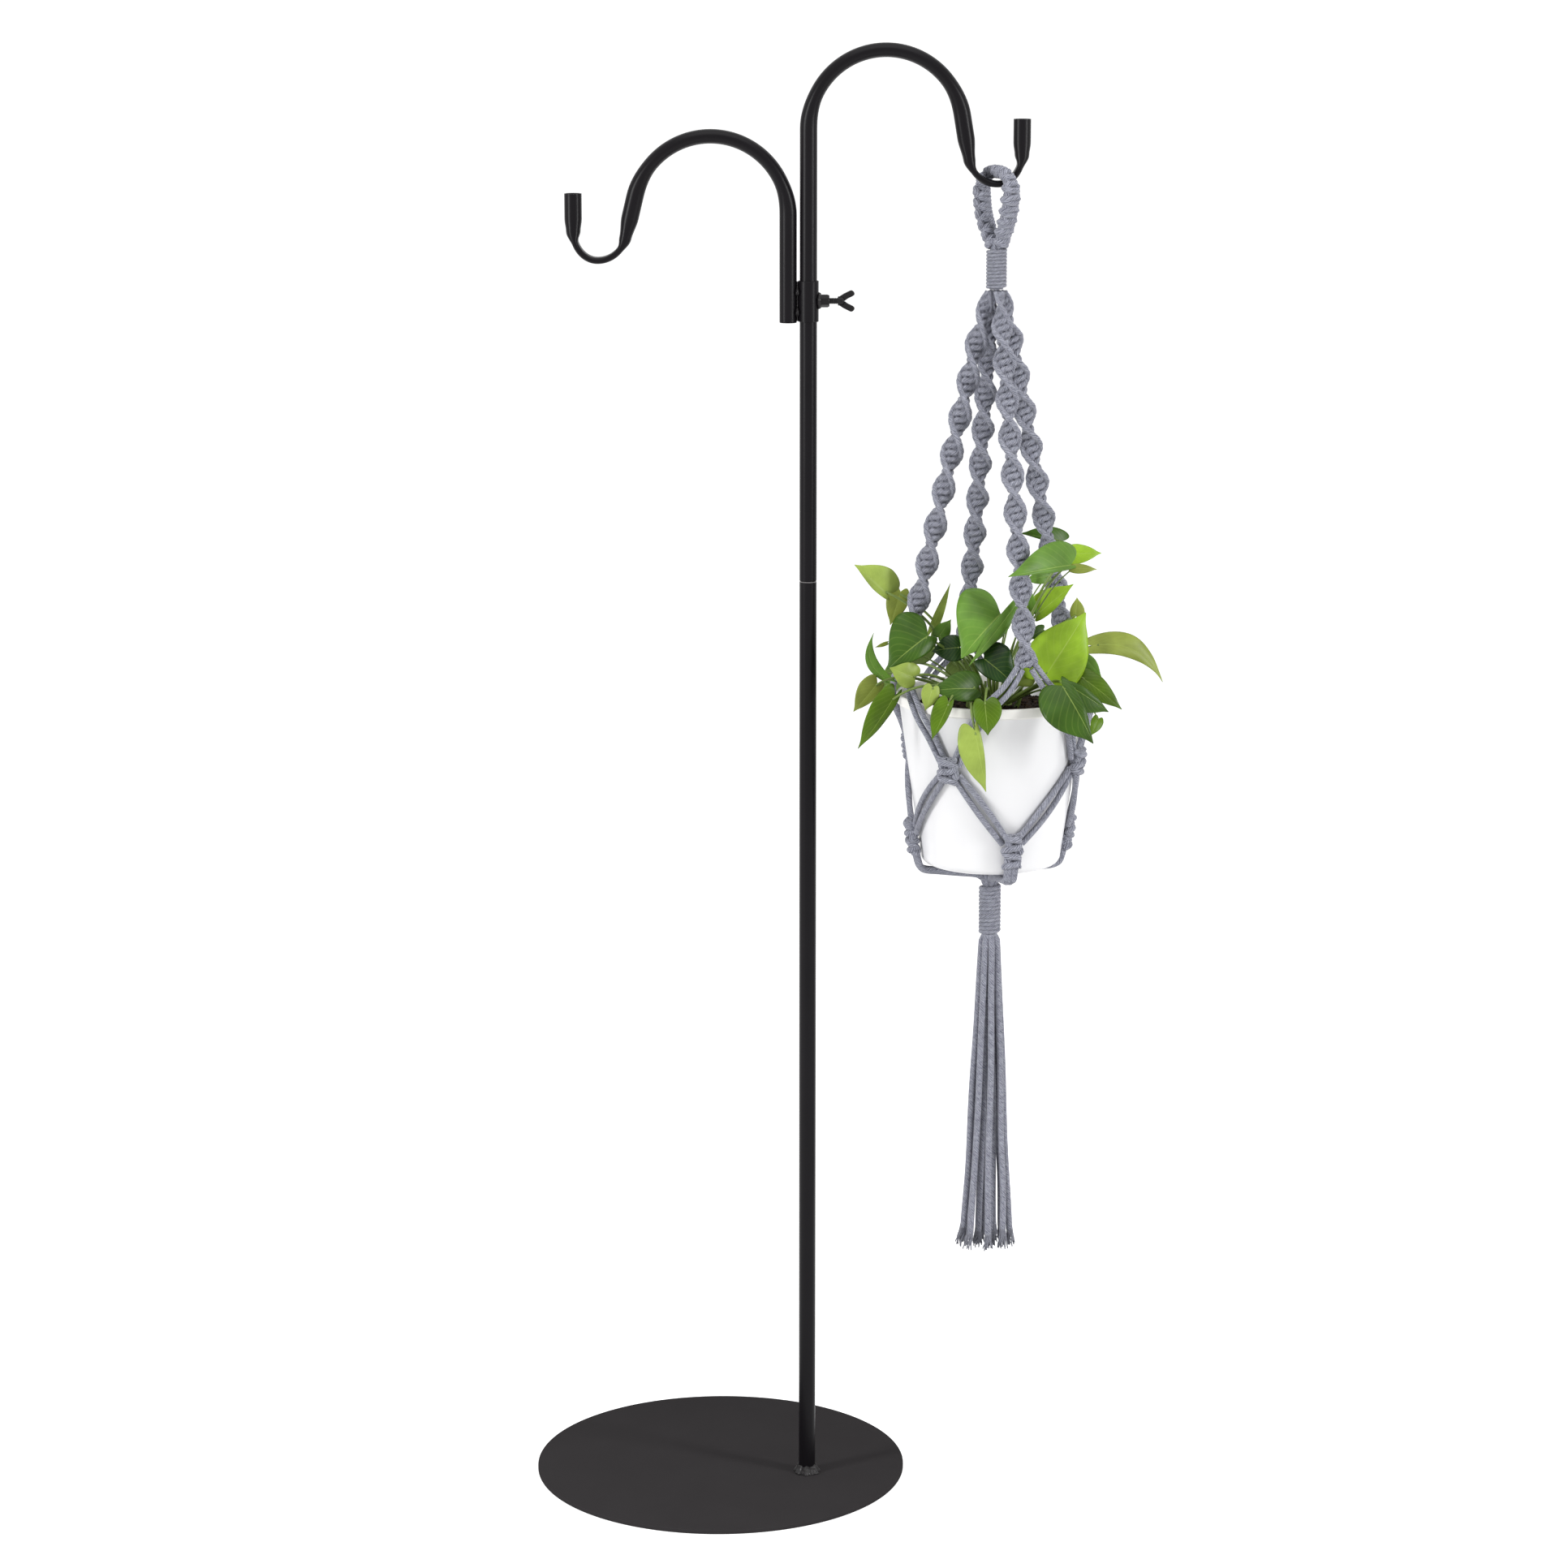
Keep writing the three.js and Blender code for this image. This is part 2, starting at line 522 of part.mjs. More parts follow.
// The hanging loop: two knotted limbs that meet over the hook's bar, and the stem below them.
const LOOP_POINTS = [
  [-4.9, 3, 1204], [-6.6, 6, 1211], [-9, 10, 1219], [-11.6, 15.5, 1230], [-12.8, 19, 1243], [-12.6, 20.4, 1253],
  [-8.4, 15.8, 1263.8], [-3.6, 7.4, 1266.9], [0, 0, 1267.3], [3.6, -7.4, 1266.9], [8.4, -15.8, 1263.8],
  [11.7, -20.4, 1253], [11.4, -19, 1243], [10, -15.5, 1230], [8, -10, 1219], [6, -6, 1211], [4.9, -3, 1204],
];

function hangingLoop() {
  const { halfWidth, archHalfWidth, halfThick, bump, bumpPitch, stemRadius, stemTop, centreZ, ringSpacing } = LOOP;
  const { arch, archBlend, neck: neckShare, neckWidth } = LOOP_SHARES;
  const curve = new THREE.CatmullRomCurve3(LOOP_POINTS.map((p) => new THREE.Vector3(...p)));
  const length = curve.getLength();
  const centre = new THREE.Vector3(0, 0, centreZ);
  const facing = (t, point) => point.clone().sub(centre);
  const limbs = band(curve, Math.round(length / ringSpacing), 6, facing, (t) => {
    const swell = bump * Math.cos((2 * Math.PI * t * length) / bumpPitch);
    const limbShare = smooth((Math.abs(t - 0.5) - arch) / archBlend);
    const neck = mix(neckWidth, 1, smooth(Math.min(t, 1 - t) / neckShare));
    return [mix(archHalfWidth, (halfWidth + swell) * neck, limbShare), halfThick + swell / 4];
  });
  const stem = rod(stemRadius, TOP_WRAP.bottom + GAP, stemTop, 16);
  return part('hanging_loop', carve(limbs, [stem], []), COTTON);
}

function sennit(name, azimuth) {
  const { top, bottom, startRadius, endRadius, halfWidth, halfThick, lobe, sides, stepsPerLobe } = SENNIT;
  const curve = new THREE.LineCurve3(around(azimuth, startRadius, top), around(azimuth, endRadius, bottom));
  const length = curve.getLength();
  const steps = Math.round((length / lobe) * stepsPerLobe);
  const scale = (t) => Math.min(1, SENNIT.startScale + (1 - SENNIT.startScale) * ((t * length) / SENNIT.growLength));
  const size = (t) => [halfWidth * scale(t), halfThick * scale(t)];
  const radial = around(azimuth, 1, 0);
  const strip = band(curve, steps, sides, () => radial, size, (t) => (Math.PI * t * length) / lobe);
  return part(name, strip, COTTON);
}

// Distance from the axis to a pair of cords that lies on the pot's outside at a height.
function cordRadiusAt(z) {
  const onBand = z > POT.top - POT.band - 2;
  return (onBand ? POT.rimRadius : wallRadius(z)) + RIM_CROSSING.clear + PAIR.halfThick;
}

function knotGeometry({ z, halfWidth, halfHeight, halfDepth }, azimuth, extra) {
  const taper = Math.atan2(wallRadius(POT.top) - wallRadius(POT.bottom), POT.top - POT.bottom);
  const place = around(azimuth, wallRadius(z) + RIM_CROSSING.clear + halfDepth, z);
  return new THREE.SphereGeometry(1, 8, 6)
    .scale(halfWidth + extra, halfDepth + extra, halfHeight + extra)
    .rotateX(taper)
    .rotateZ(azimuth * DEG)
    .translate(place.x, place.y, place.z);
}

// Two cords side by side over a list of [azimuth, radius, height] places, trimmed by knots.
function cordPair(name, places, steps, cuts) {
  const curve = new THREE.CatmullRomCurve3(places.map((place) => around(...place)));
  const facing = (t, point) => new THREE.Vector3(point.x, point.y, 0);
  const geometry = band(curve, steps, PAIR.sides, facing, () => [PAIR.halfWidth, PAIR.halfThick]);
  return part(name, carve(geometry, [], cuts), COTTON);
}

function shortestTurn(from, to) {
  return THREE.MathUtils.euclideanModulo(to - from + 180, 360) - 180;
}

// From the foot of a sennit over the rim to an upper knot. Two pairs meet at each end, side by side.
function upperPair(name, from, to) {
  const turn = shortestTurn(from, to);
  const side = Math.sign(turn) * PAIR.spread;
  const at = (t) => mix(from + side, from + turn - side, t);
  const rim = RIM_CROSSING.z;
  const foot = SENNIT.bottom - 4.5;
  const { sag, sagOut, below, belowZ, wall, wallZ } = OVER_RIM;
  const places = [
    [at(0), SENNIT.endRadius + 1.5, foot], [at(sag), SENNIT.endRadius + sagOut, mix(foot, rim, 0.5)],
    [at(OVER_RIM.rim), cordRadiusAt(rim), rim], [at(below), cordRadiusAt(rim) + 0.3, belowZ],
    [at(wall), cordRadiusAt(wallZ) + 0.6, wallZ], [at(1), cordRadiusAt(UPPER_KNOT.z) + 1, UPPER_KNOT.z + 6],
  ];
  return cordPair(name, places, 6, [knotGeometry(UPPER_KNOT, to, GAP)]);
}

// From an upper knot to a lower knot, along the wall.
function lowerPair(name, from, to) {
  const turn = shortestTurn(from, to);
  const side = Math.sign(turn) * PAIR.spread;
  const places = [];
  for (let i = 0; i <= 4; i++) {
    const t = i / 4;
    const z = mix(UPPER_KNOT.z - 8, LOWER_KNOT.z + 10, t);
    places.push([mix(from + side, from + turn - 1.2 * side, t), cordRadiusAt(z) + 0.6, z]);
  }
  const cuts = [knotGeometry(UPPER_KNOT, from, GAP), knotGeometry(LOWER_KNOT, to, GAP)];
  return cordPair(name, places, 5, cuts);
}

// Four cords from a lower knot, round the pot's foot and under it to the middle.
function underCord(name, azimuth) {
  const { bottom, footRadius } = POT;
  const low = bottom - PAIR.halfThick - GATHER.underPot;
  const places = [
    [footRadius + 7.4, LOWER_KNOT.z - UNDER_CORD.startBelow], [footRadius + 5.2, bottom + 7], [footRadius + 1.2, bottom - 2.6],
    [footRadius - 14, low], [30, low - 1], [GATHER.radius, GATHER.z],
  ];
  const curve = new THREE.CatmullRomCurve3(places.map(([radius, z]) => around(azimuth, radius, z)));
  const centre = around(azimuth, footRadius - 30, bottom + 30);
  const { startHalfWidth, endHalfWidth } = UNDER_CORD;
  const size = (t) => [mix(startHalfWidth, endHalfWidth, smooth(t)), PAIR.halfThick];
  const geometry = band(curve, 9, PAIR.sides, (t, point) => point.clone().sub(centre), size);
  const core = rod(GATHER.radius + GAP, GATHER.z - 20, GATHER.z + 20, 16);
  return part(name, carve(geometry, [], [knotGeometry(LOWER_KNOT, azimuth, GAP), core]), COTTON);
}

// The tassel: a bundled core inside the lower wrap, then a skirt fluted like hanging strands.
function tassel() {
  const { bottom, flutes, fluteDepth, spreadX, spreadY, topSpread } = TASSEL;
  const top = BOTTOM_WRAP.bottom;
  const core = LOOP.stemRadius;
  const stations = [
    [GATHER.z + 3, GATHER.radius, GATHER.radius, 0], [BOTTOM_WRAP.top + 3, GATHER.radius, GATHER.radius, 0],
    [BOTTOM_WRAP.top + 1, core, core, 0], [top - GAP, core, core, 0], [top - 3, topSpread, topSpread, fluteDepth / 2],
  ];
  for (const [t, grow] of TASSEL_GROWTH) {
    stations.push([mix(top, bottom, t), mix(topSpread, spreadX, grow), mix(topSpread, spreadY, grow), fluteDepth]);
  }
  const count = 3 * flutes;
  const rings = stations.map(([z, radiusX, radiusY, depth]) => {
    const ring = [];
    for (let i = 0; i < count; i++) {
      const angle = (i / count) * 2 * Math.PI;
      const inset = i % 3 === 0 ? depth : 0;
      ring.push(new THREE.Vector3((radiusX - inset) * Math.cos(angle), (radiusY - inset) * Math.sin(angle), z));
    }
    return ring;
  });
  return part('tassel', loft(rings), COTTON);
}

// ---------------------------------------------------------------- plant
// A leaf as a thin pointed heart, with the stalk that carries it.
function leafBlade([base, tip, [wide, narrow], tilt, camber, bow, turn = 0]) {
  const start = new THREE.Vector3(...base);
  const axis = new THREE.Vector3(...tip).sub(start);
  const across = new THREE.Vector3(axis.z, 0, -axis.x).normalize().setY(-tilt);
  const face = across.clone().cross(axis).normalize();
  const midrib = (t) => start.clone()
    .addScaledVector(axis, t)
    .addScaledVector(across, 4 * t * (1 - t) * bow)
    .addScaledVector(face, 4 * t * (1 - t) * camber);
  const rings = LEAF_STATIONS.map(([edge, middle, share]) => [
    midrib(edge).addScaledVector(across, wide * share),
    midrib(middle).addScaledVector(face, LEAF_HALF_THICK),
    midrib(edge).addScaledVector(across, -narrow * share),
    midrib(middle).addScaledVector(face, -LEAF_HALF_THICK),
  ]);
  return [loft(rings), stalk(midrib(0.12), turn * DEG)];
}

// A stalk from the crown, over the pot's rim where the leaf hangs outside it.
function stalk(end, turn) {
  const { radius, sides, steps, root, overRim, rimLevel } = STALK;
  const outside = end.z < rimLevel;
  const reach = outside ? 0.75 : 0.45;
  const level = new THREE.Vector3(end.x, end.y, 0).applyAxisAngle(new THREE.Vector3(0, 0, 1), turn);
  const start = level.clone().multiplyScalar(root).setZ(crownFoot() + 0.4 * CROWN.height);
  const bend = level.clone().multiplyScalar(reach).setZ(outside ? overRim : mix(start.z, end.z, 0.75));
  const curve = new THREE.QuadraticBezierCurve3(start, bend, end);
  const radial = new THREE.Vector3(-end.y, end.x, 0);
  return band(curve, steps, sides, () => radial, () => [radius, radius]);
}

const crownFoot = () => SOIL.top + SOIL.domeRise + GAP;

function plant() {
  const { height, radius, segments } = CROWN;
  const bottom = crownFoot();
  const top = bottom + height;
  const profile = [[0, bottom], [radius, bottom], [0.85 * radius, top - 4], [0.4 * radius, top], [0, top]];
  return part('plant', carve(turned(profile, segments), LEAVES.flatMap(leafBlade), []), FOLIAGE);
}

// ---------------------------------------------------------------- assembly
const stand = new THREE.Group();
stand.position.set(POLE_PLACE.x, POLE_PLACE.y, 0);
stand.add(footWeld(), lowerPole(), poleConnector());
stand.add(hookTube('upper_pole_hook', TOP_HOOK, JOINT_Z + GAP, 1, 0));
stand.add(hookTube('side_arm_hook', SIDE_HOOK, SIDE_ARM_FOOT_Z, -1, SIDE_ARM_X));
stand.add(clampCollar(), armWeld('arm_weld_upper', ARM_WELDS.upper), armWeld('arm_weld_lower', ARM_WELDS.lower));
stand.add(weldNut(), nutWeld(), wingBolt());

const hanger = new THREE.Group();
hanger.position.set(POLE_PLACE.x + hookStations(TOP_HOOK, JOINT_Z).cup.x, POLE_PLACE.y, 0);
hanger.add(hangingLoop(), wrap('top_wrap', TOP_WRAP), wrap('bottom_wrap', BOTTOM_WRAP), tassel());
for (const [place, azimuth] of Object.entries(SENNIT_AZIMUTHS)) hanger.add(sennit(`sennit_${place}`, azimuth));
for (const [place, azimuth] of Object.entries(UPPER_KNOT_AZIMUTHS)) {
  hanger.add(part(`upper_knot_${place}`, knotGeometry(UPPER_KNOT, azimuth, 0), COTTON));
  for (const [end, target] of Object.entries(SENNIT_AZIMUTHS)) {
    if (place.includes(end)) hanger.add(upperPair(`upper_cords_${end}_to_${place}`, target, azimuth));
  }
  for (const [end, target] of Object.entries(LOWER_KNOT_AZIMUTHS)) {
    if (place.includes(end)) hanger.add(lowerPair(`lower_cords_${place}_to_${end}`, azimuth, target));
  }
}
for (const [place, azimuth] of Object.entries(LOWER_KNOT_AZIMUTHS)) {
  hanger.add(part(`lower_knot_${place}`, knotGeometry(LOWER_KNOT, azimuth, 0), COTTON));
  hanger.add(underCord(`under_cords_${place}`, azimuth));
}
hanger.add(pot(), soil(), plant());

const plantStand = new THREE.Group();
plantStand.add(basePlate(), stand, hanger);
export default plantStand;
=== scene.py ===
"""Looks of a hanging plant stand: coated steel poles and hooks, a knotted cord hanger, a pot and its plant.

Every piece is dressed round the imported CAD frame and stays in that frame. Sizes are millimetres, and each
sub-assembly is placed from its own axis: the pole's for the steel, the pot's for all that hangs.
"""

import logging
import math
from dataclasses import dataclass
from enum import Enum
from typing import Sequence

import bmesh
import bpy
import numpy as np
from mathutils import Matrix, Vector


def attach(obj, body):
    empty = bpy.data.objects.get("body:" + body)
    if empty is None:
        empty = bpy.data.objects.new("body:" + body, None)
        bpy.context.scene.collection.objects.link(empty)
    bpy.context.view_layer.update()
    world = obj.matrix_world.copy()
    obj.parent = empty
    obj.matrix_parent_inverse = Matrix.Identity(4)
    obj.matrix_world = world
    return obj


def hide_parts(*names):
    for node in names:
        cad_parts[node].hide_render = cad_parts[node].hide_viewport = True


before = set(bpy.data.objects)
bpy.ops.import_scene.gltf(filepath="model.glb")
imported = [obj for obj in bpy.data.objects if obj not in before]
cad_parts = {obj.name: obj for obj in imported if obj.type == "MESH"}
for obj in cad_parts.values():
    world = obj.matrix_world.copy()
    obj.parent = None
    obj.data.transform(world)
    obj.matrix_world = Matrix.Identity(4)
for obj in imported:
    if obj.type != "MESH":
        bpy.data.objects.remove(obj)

MM = 0.001
POLE_AT = (85.0, -30.0, 0.0)
POT_AT = (258.285, -30.0, 0.0)
log = logging.getLogger("plant_stand")

Numbers = float | np.ndarray
Faces = list[tuple[int, ...]]
Shape = tuple[np.ndarray, Faces]
Line = tuple[np.ndarray, Numbers]


# ------------------------------------------------------------------ small maths
def smooth(t: Numbers) -> Numbers:
    """Smooth step of t between 0 and 1."""
    t = np.clip(t, 0, 1)
    return t * t * (3 - 2 * t)


def mix(a: Numbers, b: Numbers, t: Numbers) -> Numbers:
    """Blend of a and b."""
    return a + (b - a) * t


def unit(v: np.ndarray) -> np.ndarray:
    """Vectors made one long, along the last axis."""
    return v / np.maximum(np.linalg.norm(v, axis=-1, keepdims=True), 1e-12)


def xyz(x: Numbers, y: Numbers, z: Numbers) -> np.ndarray:
    """Points from their coordinates."""
    return np.stack(np.broadcast_arrays(x, y, z), axis=-1)


def circle(count: int) -> np.ndarray:
    """Angles in even steps round a circle."""
    return np.linspace(0, 2 * np.pi, count, endpoint=False)


def arc(x: float, y: float, radius: float, start: float, end: float, count: int) -> list[tuple[float, float]]:
    """Points on an arc about a centre, between two angles in degrees."""
    turn = np.radians(np.linspace(start, end, count))
    return list(zip(x + radius * np.cos(turn), y + radius * np.sin(turn)))


def around(azimuth: Numbers, radius: Numbers, z: Numbers) -> np.ndarray:
    """Points by azimuth in degrees from the front, turning right, distance from the axis, and height."""
    angle = np.radians(azimuth)
    return xyz(radius * np.sin(angle), -radius * np.cos(angle), z)


def spline(points: Sequence[Sequence[float]], count: int) -> np.ndarray:
    """A smooth line of evenly spaced points through the given ones.

    Args:
        points: The points to pass through.
        count: How many points to return.

    Returns:
        An array of count points.
    """
    p = np.asarray(points, float)
    padded = np.vstack([2 * p[0] - p[1], p, 2 * p[-1] - p[-2]])
    t = np.linspace(0, 1, 24, endpoint=False)[:, None]
    pieces = []
    for a, b, c, d in zip(padded, padded[1:], padded[2:], padded[3:]):
        pieces.append(0.5 * (2 * b + (c - a) * t + (2 * a - 5 * b + 4 * c - d) * t**2
                             + (3 * b - a - 3 * c + d) * t**3))
    return resample(np.vstack([*pieces, p[-1:]]), count)


def read(values: np.ndarray, travel: np.ndarray, where: np.ndarray) -> np.ndarray:
    """Values along a line, read at other distances along it."""
    return np.stack([np.interp(where, travel, column) for column in values.T], axis=-1)


def resample(line: np.ndarray, count: int) -> np.ndarray:
    """The same line with count evenly spaced points."""
    travel = distance_along(line)
    return read(line, travel, np.linspace(0, travel[-1], count))


def distance_along(line: np.ndarray) -> np.ndarray:
    """Distance travelled to each point of a line."""
    return np.concatenate([[0], np.cumsum(np.linalg.norm(np.diff(line, axis=0), axis=1))])


def frames(line: np.ndarray, facing: np.ndarray) -> tuple[np.ndarray, np.ndarray]:
    """The across and out directions at each point of a line that faces a given way."""
    along = unit(np.gradient(line, axis=0))
    out = unit(facing - along * np.sum(facing * along, axis=1, keepdims=True))
    return np.cross(along, out), out


# ------------------------------------------------------------------ meshes
def loft(rings: np.ndarray, closed: bool = False) -> Shape:
    """Skins rings with the same number of points.

    Args:
        rings: Array of rings by points by 3.
        closed: Whether the last ring joins the first instead of ending in caps.

    Returns:
        The vertices and faces.
    """
    count, sides = rings.shape[:2]
    faces: Faces = []
    for r in range(count if closed else count - 1):
        a, b = r * sides, ((r + 1) % count) * sides
        faces += [(a + i, a + (i + 1) % sides, b + (i + 1) % sides, b + i) for i in range(sides)]
    if not closed:
        faces += [tuple(range(sides)), tuple(range((count - 1) * sides, count * sides))]
    return rings.reshape(-1, 3), faces


def turned(profile: Sequence[tuple[float, float]], segments: int, closed: bool = False) -> Shape:
    """Turns a profile of radius and height about Z.

    Args:
        profile: Radius and height pairs, ending on the axis unless closed.
        segments: Steps round the axis.
        closed: Whether the profile is a loop, as for a ring or a tube.

    Returns:
        The vertices and faces.
    """
    reach, height = np.array(profile, float).T[..., None]
    reach, angle = np.maximum(reach, 0 if closed else 1e-3), circle(segments)
    return loft(xyz(reach * np.cos(angle), reach * np.sin(angle), height), closed)


def along_x(shape: Shape, z: float) -> Shape:
    """A shape turned about Z laid along +X at a height."""
    points, faces = shape
    return xyz(points[:, 2], points[:, 1], z - points[:, 0]), faces


def blank(name: str) -> bpy.types.Object:
    """An object at the origin with an empty mesh."""
    made = bpy.data.objects.new(name, bpy.data.meshes.new(name))
    bpy.context.scene.collection.objects.link(made)
    return made


def make_piece(name: str, shapes: Sequence[Shape], finish: bpy.types.Material, at: Sequence[float],
               sharp: float = 40.0, outward: bool = True) -> bpy.types.Object:
    """Builds one object from closed shapes.

    Args:
        name: Piece name.
        shapes: Vertices in millimetres and faces.
        finish: Its material.
        at: Place of the shapes' own origin, in millimetres.
        sharp: Angle in degrees above which an edge stays sharp.
        outward: Whether the faces are turned outwards here.

    Returns:
        The object, with its place in its mesh.
    """
    vertices, faces, start = [], [], 0
    for points, polygons in shapes:
        vertices.append(points)
        faces += [tuple(start + i for i in polygon) for polygon in polygons]
        start += len(points)
    made = blank(name)
    mesh = made.data
    mesh.from_pydata(((np.vstack(vertices) + np.asarray(at, float)) * MM).tolist(), [], faces)
    if outward:
        work = bmesh.new()
        work.from_mesh(mesh)
        bmesh.ops.recalc_face_normals(work, faces=work.faces[:])
        work.to_mesh(mesh)
        work.free()
    mesh.shade_smooth()
    mesh.set_sharp_from_angle(angle=math.radians(sharp))
    mesh.materials.append(finish)
    return made


def settle(made: bpy.types.Object) -> bpy.types.Object:
    """Applies every modifier of a piece, so that its mesh is final."""
    bpy.context.view_layer.update()
    graph = bpy.context.evaluated_depsgraph_get()
    final = bpy.data.meshes.new_from_object(made.evaluated_get(graph), preserve_all_data_layers=True,
                                            depsgraph=graph)
    final.name = made.name
    made.modifiers.clear()
    made.data = final
    return made


def mount(made: bpy.types.Object, body: str, slot: str, *nodes: str) -> bpy.types.Object:
    """Gives a finished piece its body and hides the CAD nodes that it stands for.

    Args:
        made: The piece.
        body: The CAD body that it rides on.
        slot: Name of its material slot; not used.
        nodes: CAD nodes that it replaces.

    Returns:
        The piece.
    """
    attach(made, body)
    if nodes:
        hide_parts(*nodes)
    log.info("%s rides on %s: %d faces", made.name, body, len(made.data.polygons))
    return made


# ------------------------------------------------------------------ node trees
def linear(colour: str) -> tuple[float, float, float, float]:
    """An sRGB hex colour as linear numbers."""
    parts = [int(colour[i:i + 2], 16) / 255 for i in (1, 3, 5)]
    return (*[c / 12.92 if c <= 0.04045 else ((c + 0.055) / 1.055) ** 2.4 for c in parts], 1.0)


@dataclass
class Nodes:
    """A node tree that is filled node by node."""

    tree: bpy.types.NodeTree

    def add(self, kind: str, *values: object, **named: object) -> bpy.types.Node:
        """Adds one node with its settings and links.

        Args:
            kind: The node's type.
            values: Inputs by place, each a value, a hex colour, a socket or a node; None leaves one alone.
            named: Lower-case names are the node's own properties, others its inputs, with _ for spaces.

        Returns:
            The node.
        """
        node = self.tree.nodes.new(kind)
        inputs: dict[int | str, object] = {k: v for k, v in enumerate(values) if v is not None}
        for name, value in named.items():
            if name.islower():
                setattr(node, name, value)
            else:
                inputs[name.replace("_", " ")] = value
        for key, value in inputs.items():
            if isinstance(value, bpy.types.Node):
                value = value.outputs[0]
            if isinstance(value, bpy.types.NodeSocket):
                self.tree.links.new(value, node.inputs[key])
            else:
                node.inputs[key].default_value = linear(value) if str(value).startswith("#") else value
        return node

    def math(self, operation: str, *values: object) -> bpy.types.Node:
        """One sum of the tree."""
        return self.add("ShaderNodeMath", *values, operation=operation)


class GeometryRule(Nodes):
    """A Geometry Nodes tree with named inputs, ending in Realize Instances and Set Material."""

    def __init__(self, name: str, numbers: Sequence[str], counts: Sequence[str]) -> None:
        """Makes the empty tree, with sockets for its numbers and its whole numbers."""
        super().__init__(bpy.data.node_groups.new(name, "GeometryNodeTree"))
        self.name = name
        side = self.tree.interface
        kinds = {"Geometry": "Geometry", **dict.fromkeys(numbers, "Float"), **dict.fromkeys(counts, "Int"),
                 "Finish": "Material"}
        for label, kind in kinds.items():
            side.new_socket(label, in_out="INPUT", socket_type=f"NodeSocket{kind}")
        side.new_socket("Geometry", in_out="OUTPUT", socket_type="NodeSocketGeometry")
        self.inputs = self.tree.nodes.new("NodeGroupInput")

    def __getitem__(self, label: str) -> bpy.types.NodeSocket:
        """The socket of a named input."""
        return self.inputs.outputs[label]

    def cord(self, line: object, radius: object) -> bpy.types.Node:
        """Sweeps a round cord along a curve and stores where each point is on the cord.

        Args:
            line: The curve.
            radius: The cord's radius in metres.

        Returns:
            The node that gives the swept mesh.
        """
        marked = self.add("GeometryNodeStoreNamedAttribute", Geometry=line, Name="along", data_type="FLOAT",
                          domain="POINT", Value=self.add("GeometryNodeSplineParameter").outputs["Length"])
        ring = self.add("GeometryNodeCurvePrimitiveCircle", Resolution=self["Sides"], Radius=1.0)
        dial = self.add("GeometryNodeStoreNamedAttribute", Geometry=ring, Name="dial", domain="POINT",
                        data_type="FLOAT_VECTOR", Value=self.add("GeometryNodeInputPosition"))
        return self.add("GeometryNodeCurveToMesh", Curve=marked, Profile_Curve=dial, Scale=radius,
                        Fill_Caps=True)

    def close(self, *parts: object) -> "GeometryRule":
        """Joins the parts, nodes or sockets, and ends the tree after them."""
        joined = self.add("GeometryNodeJoinGeometry")
        for part in parts:
            end = part.outputs[0] if isinstance(part, bpy.types.Node) else part
            self.tree.links.new(end, joined.inputs[0])
        whole = self.add("GeometryNodeSetShadeSmooth", self.add("GeometryNodeRealizeInstances", joined))
        painted = self.add("GeometryNodeSetMaterial", Geometry=whole, Material=self["Finish"])
        self.add("NodeGroupOutput", painted)
        return self

    def grow(self, made: bpy.types.Object, finish: bpy.types.Material, **values: object) -> bpy.types.Object:
        """Runs the tree on an object and keeps the result as its plain mesh.

        Args:
            made: The object that holds the tree's starting geometry.
            finish: Material for the result.
            values: Inputs by name, with underscores for spaces.

        Returns:
            The same object.
        """
        modifier = made.modifiers.new(self.name, "NODES")
        modifier.node_group = self.tree
        wanted = {label.replace("_", " "): value for label, value in values.items()} | {"Finish": finish}
        for item in self.tree.interface.items_tree:
            if item.item_type == "SOCKET" and item.in_out == "INPUT" and item.name in wanted:
                modifier[item.identifier] = wanted[item.name]
        made.update_tag()
        return settle(made)


def cord_rule() -> GeometryRule:
    """The rule for cords that follow given lines, each with its own radius along it."""
    rule = GeometryRule("cords_on_lines", (), ("Sides",))
    thick = rule.add("GeometryNodeInputNamedAttribute", Name="thick", data_type="FLOAT")
    return rule.close(rule.cord(rule.add("GeometryNodeMeshToCurve", Mesh=rule["Geometry"]), thick))


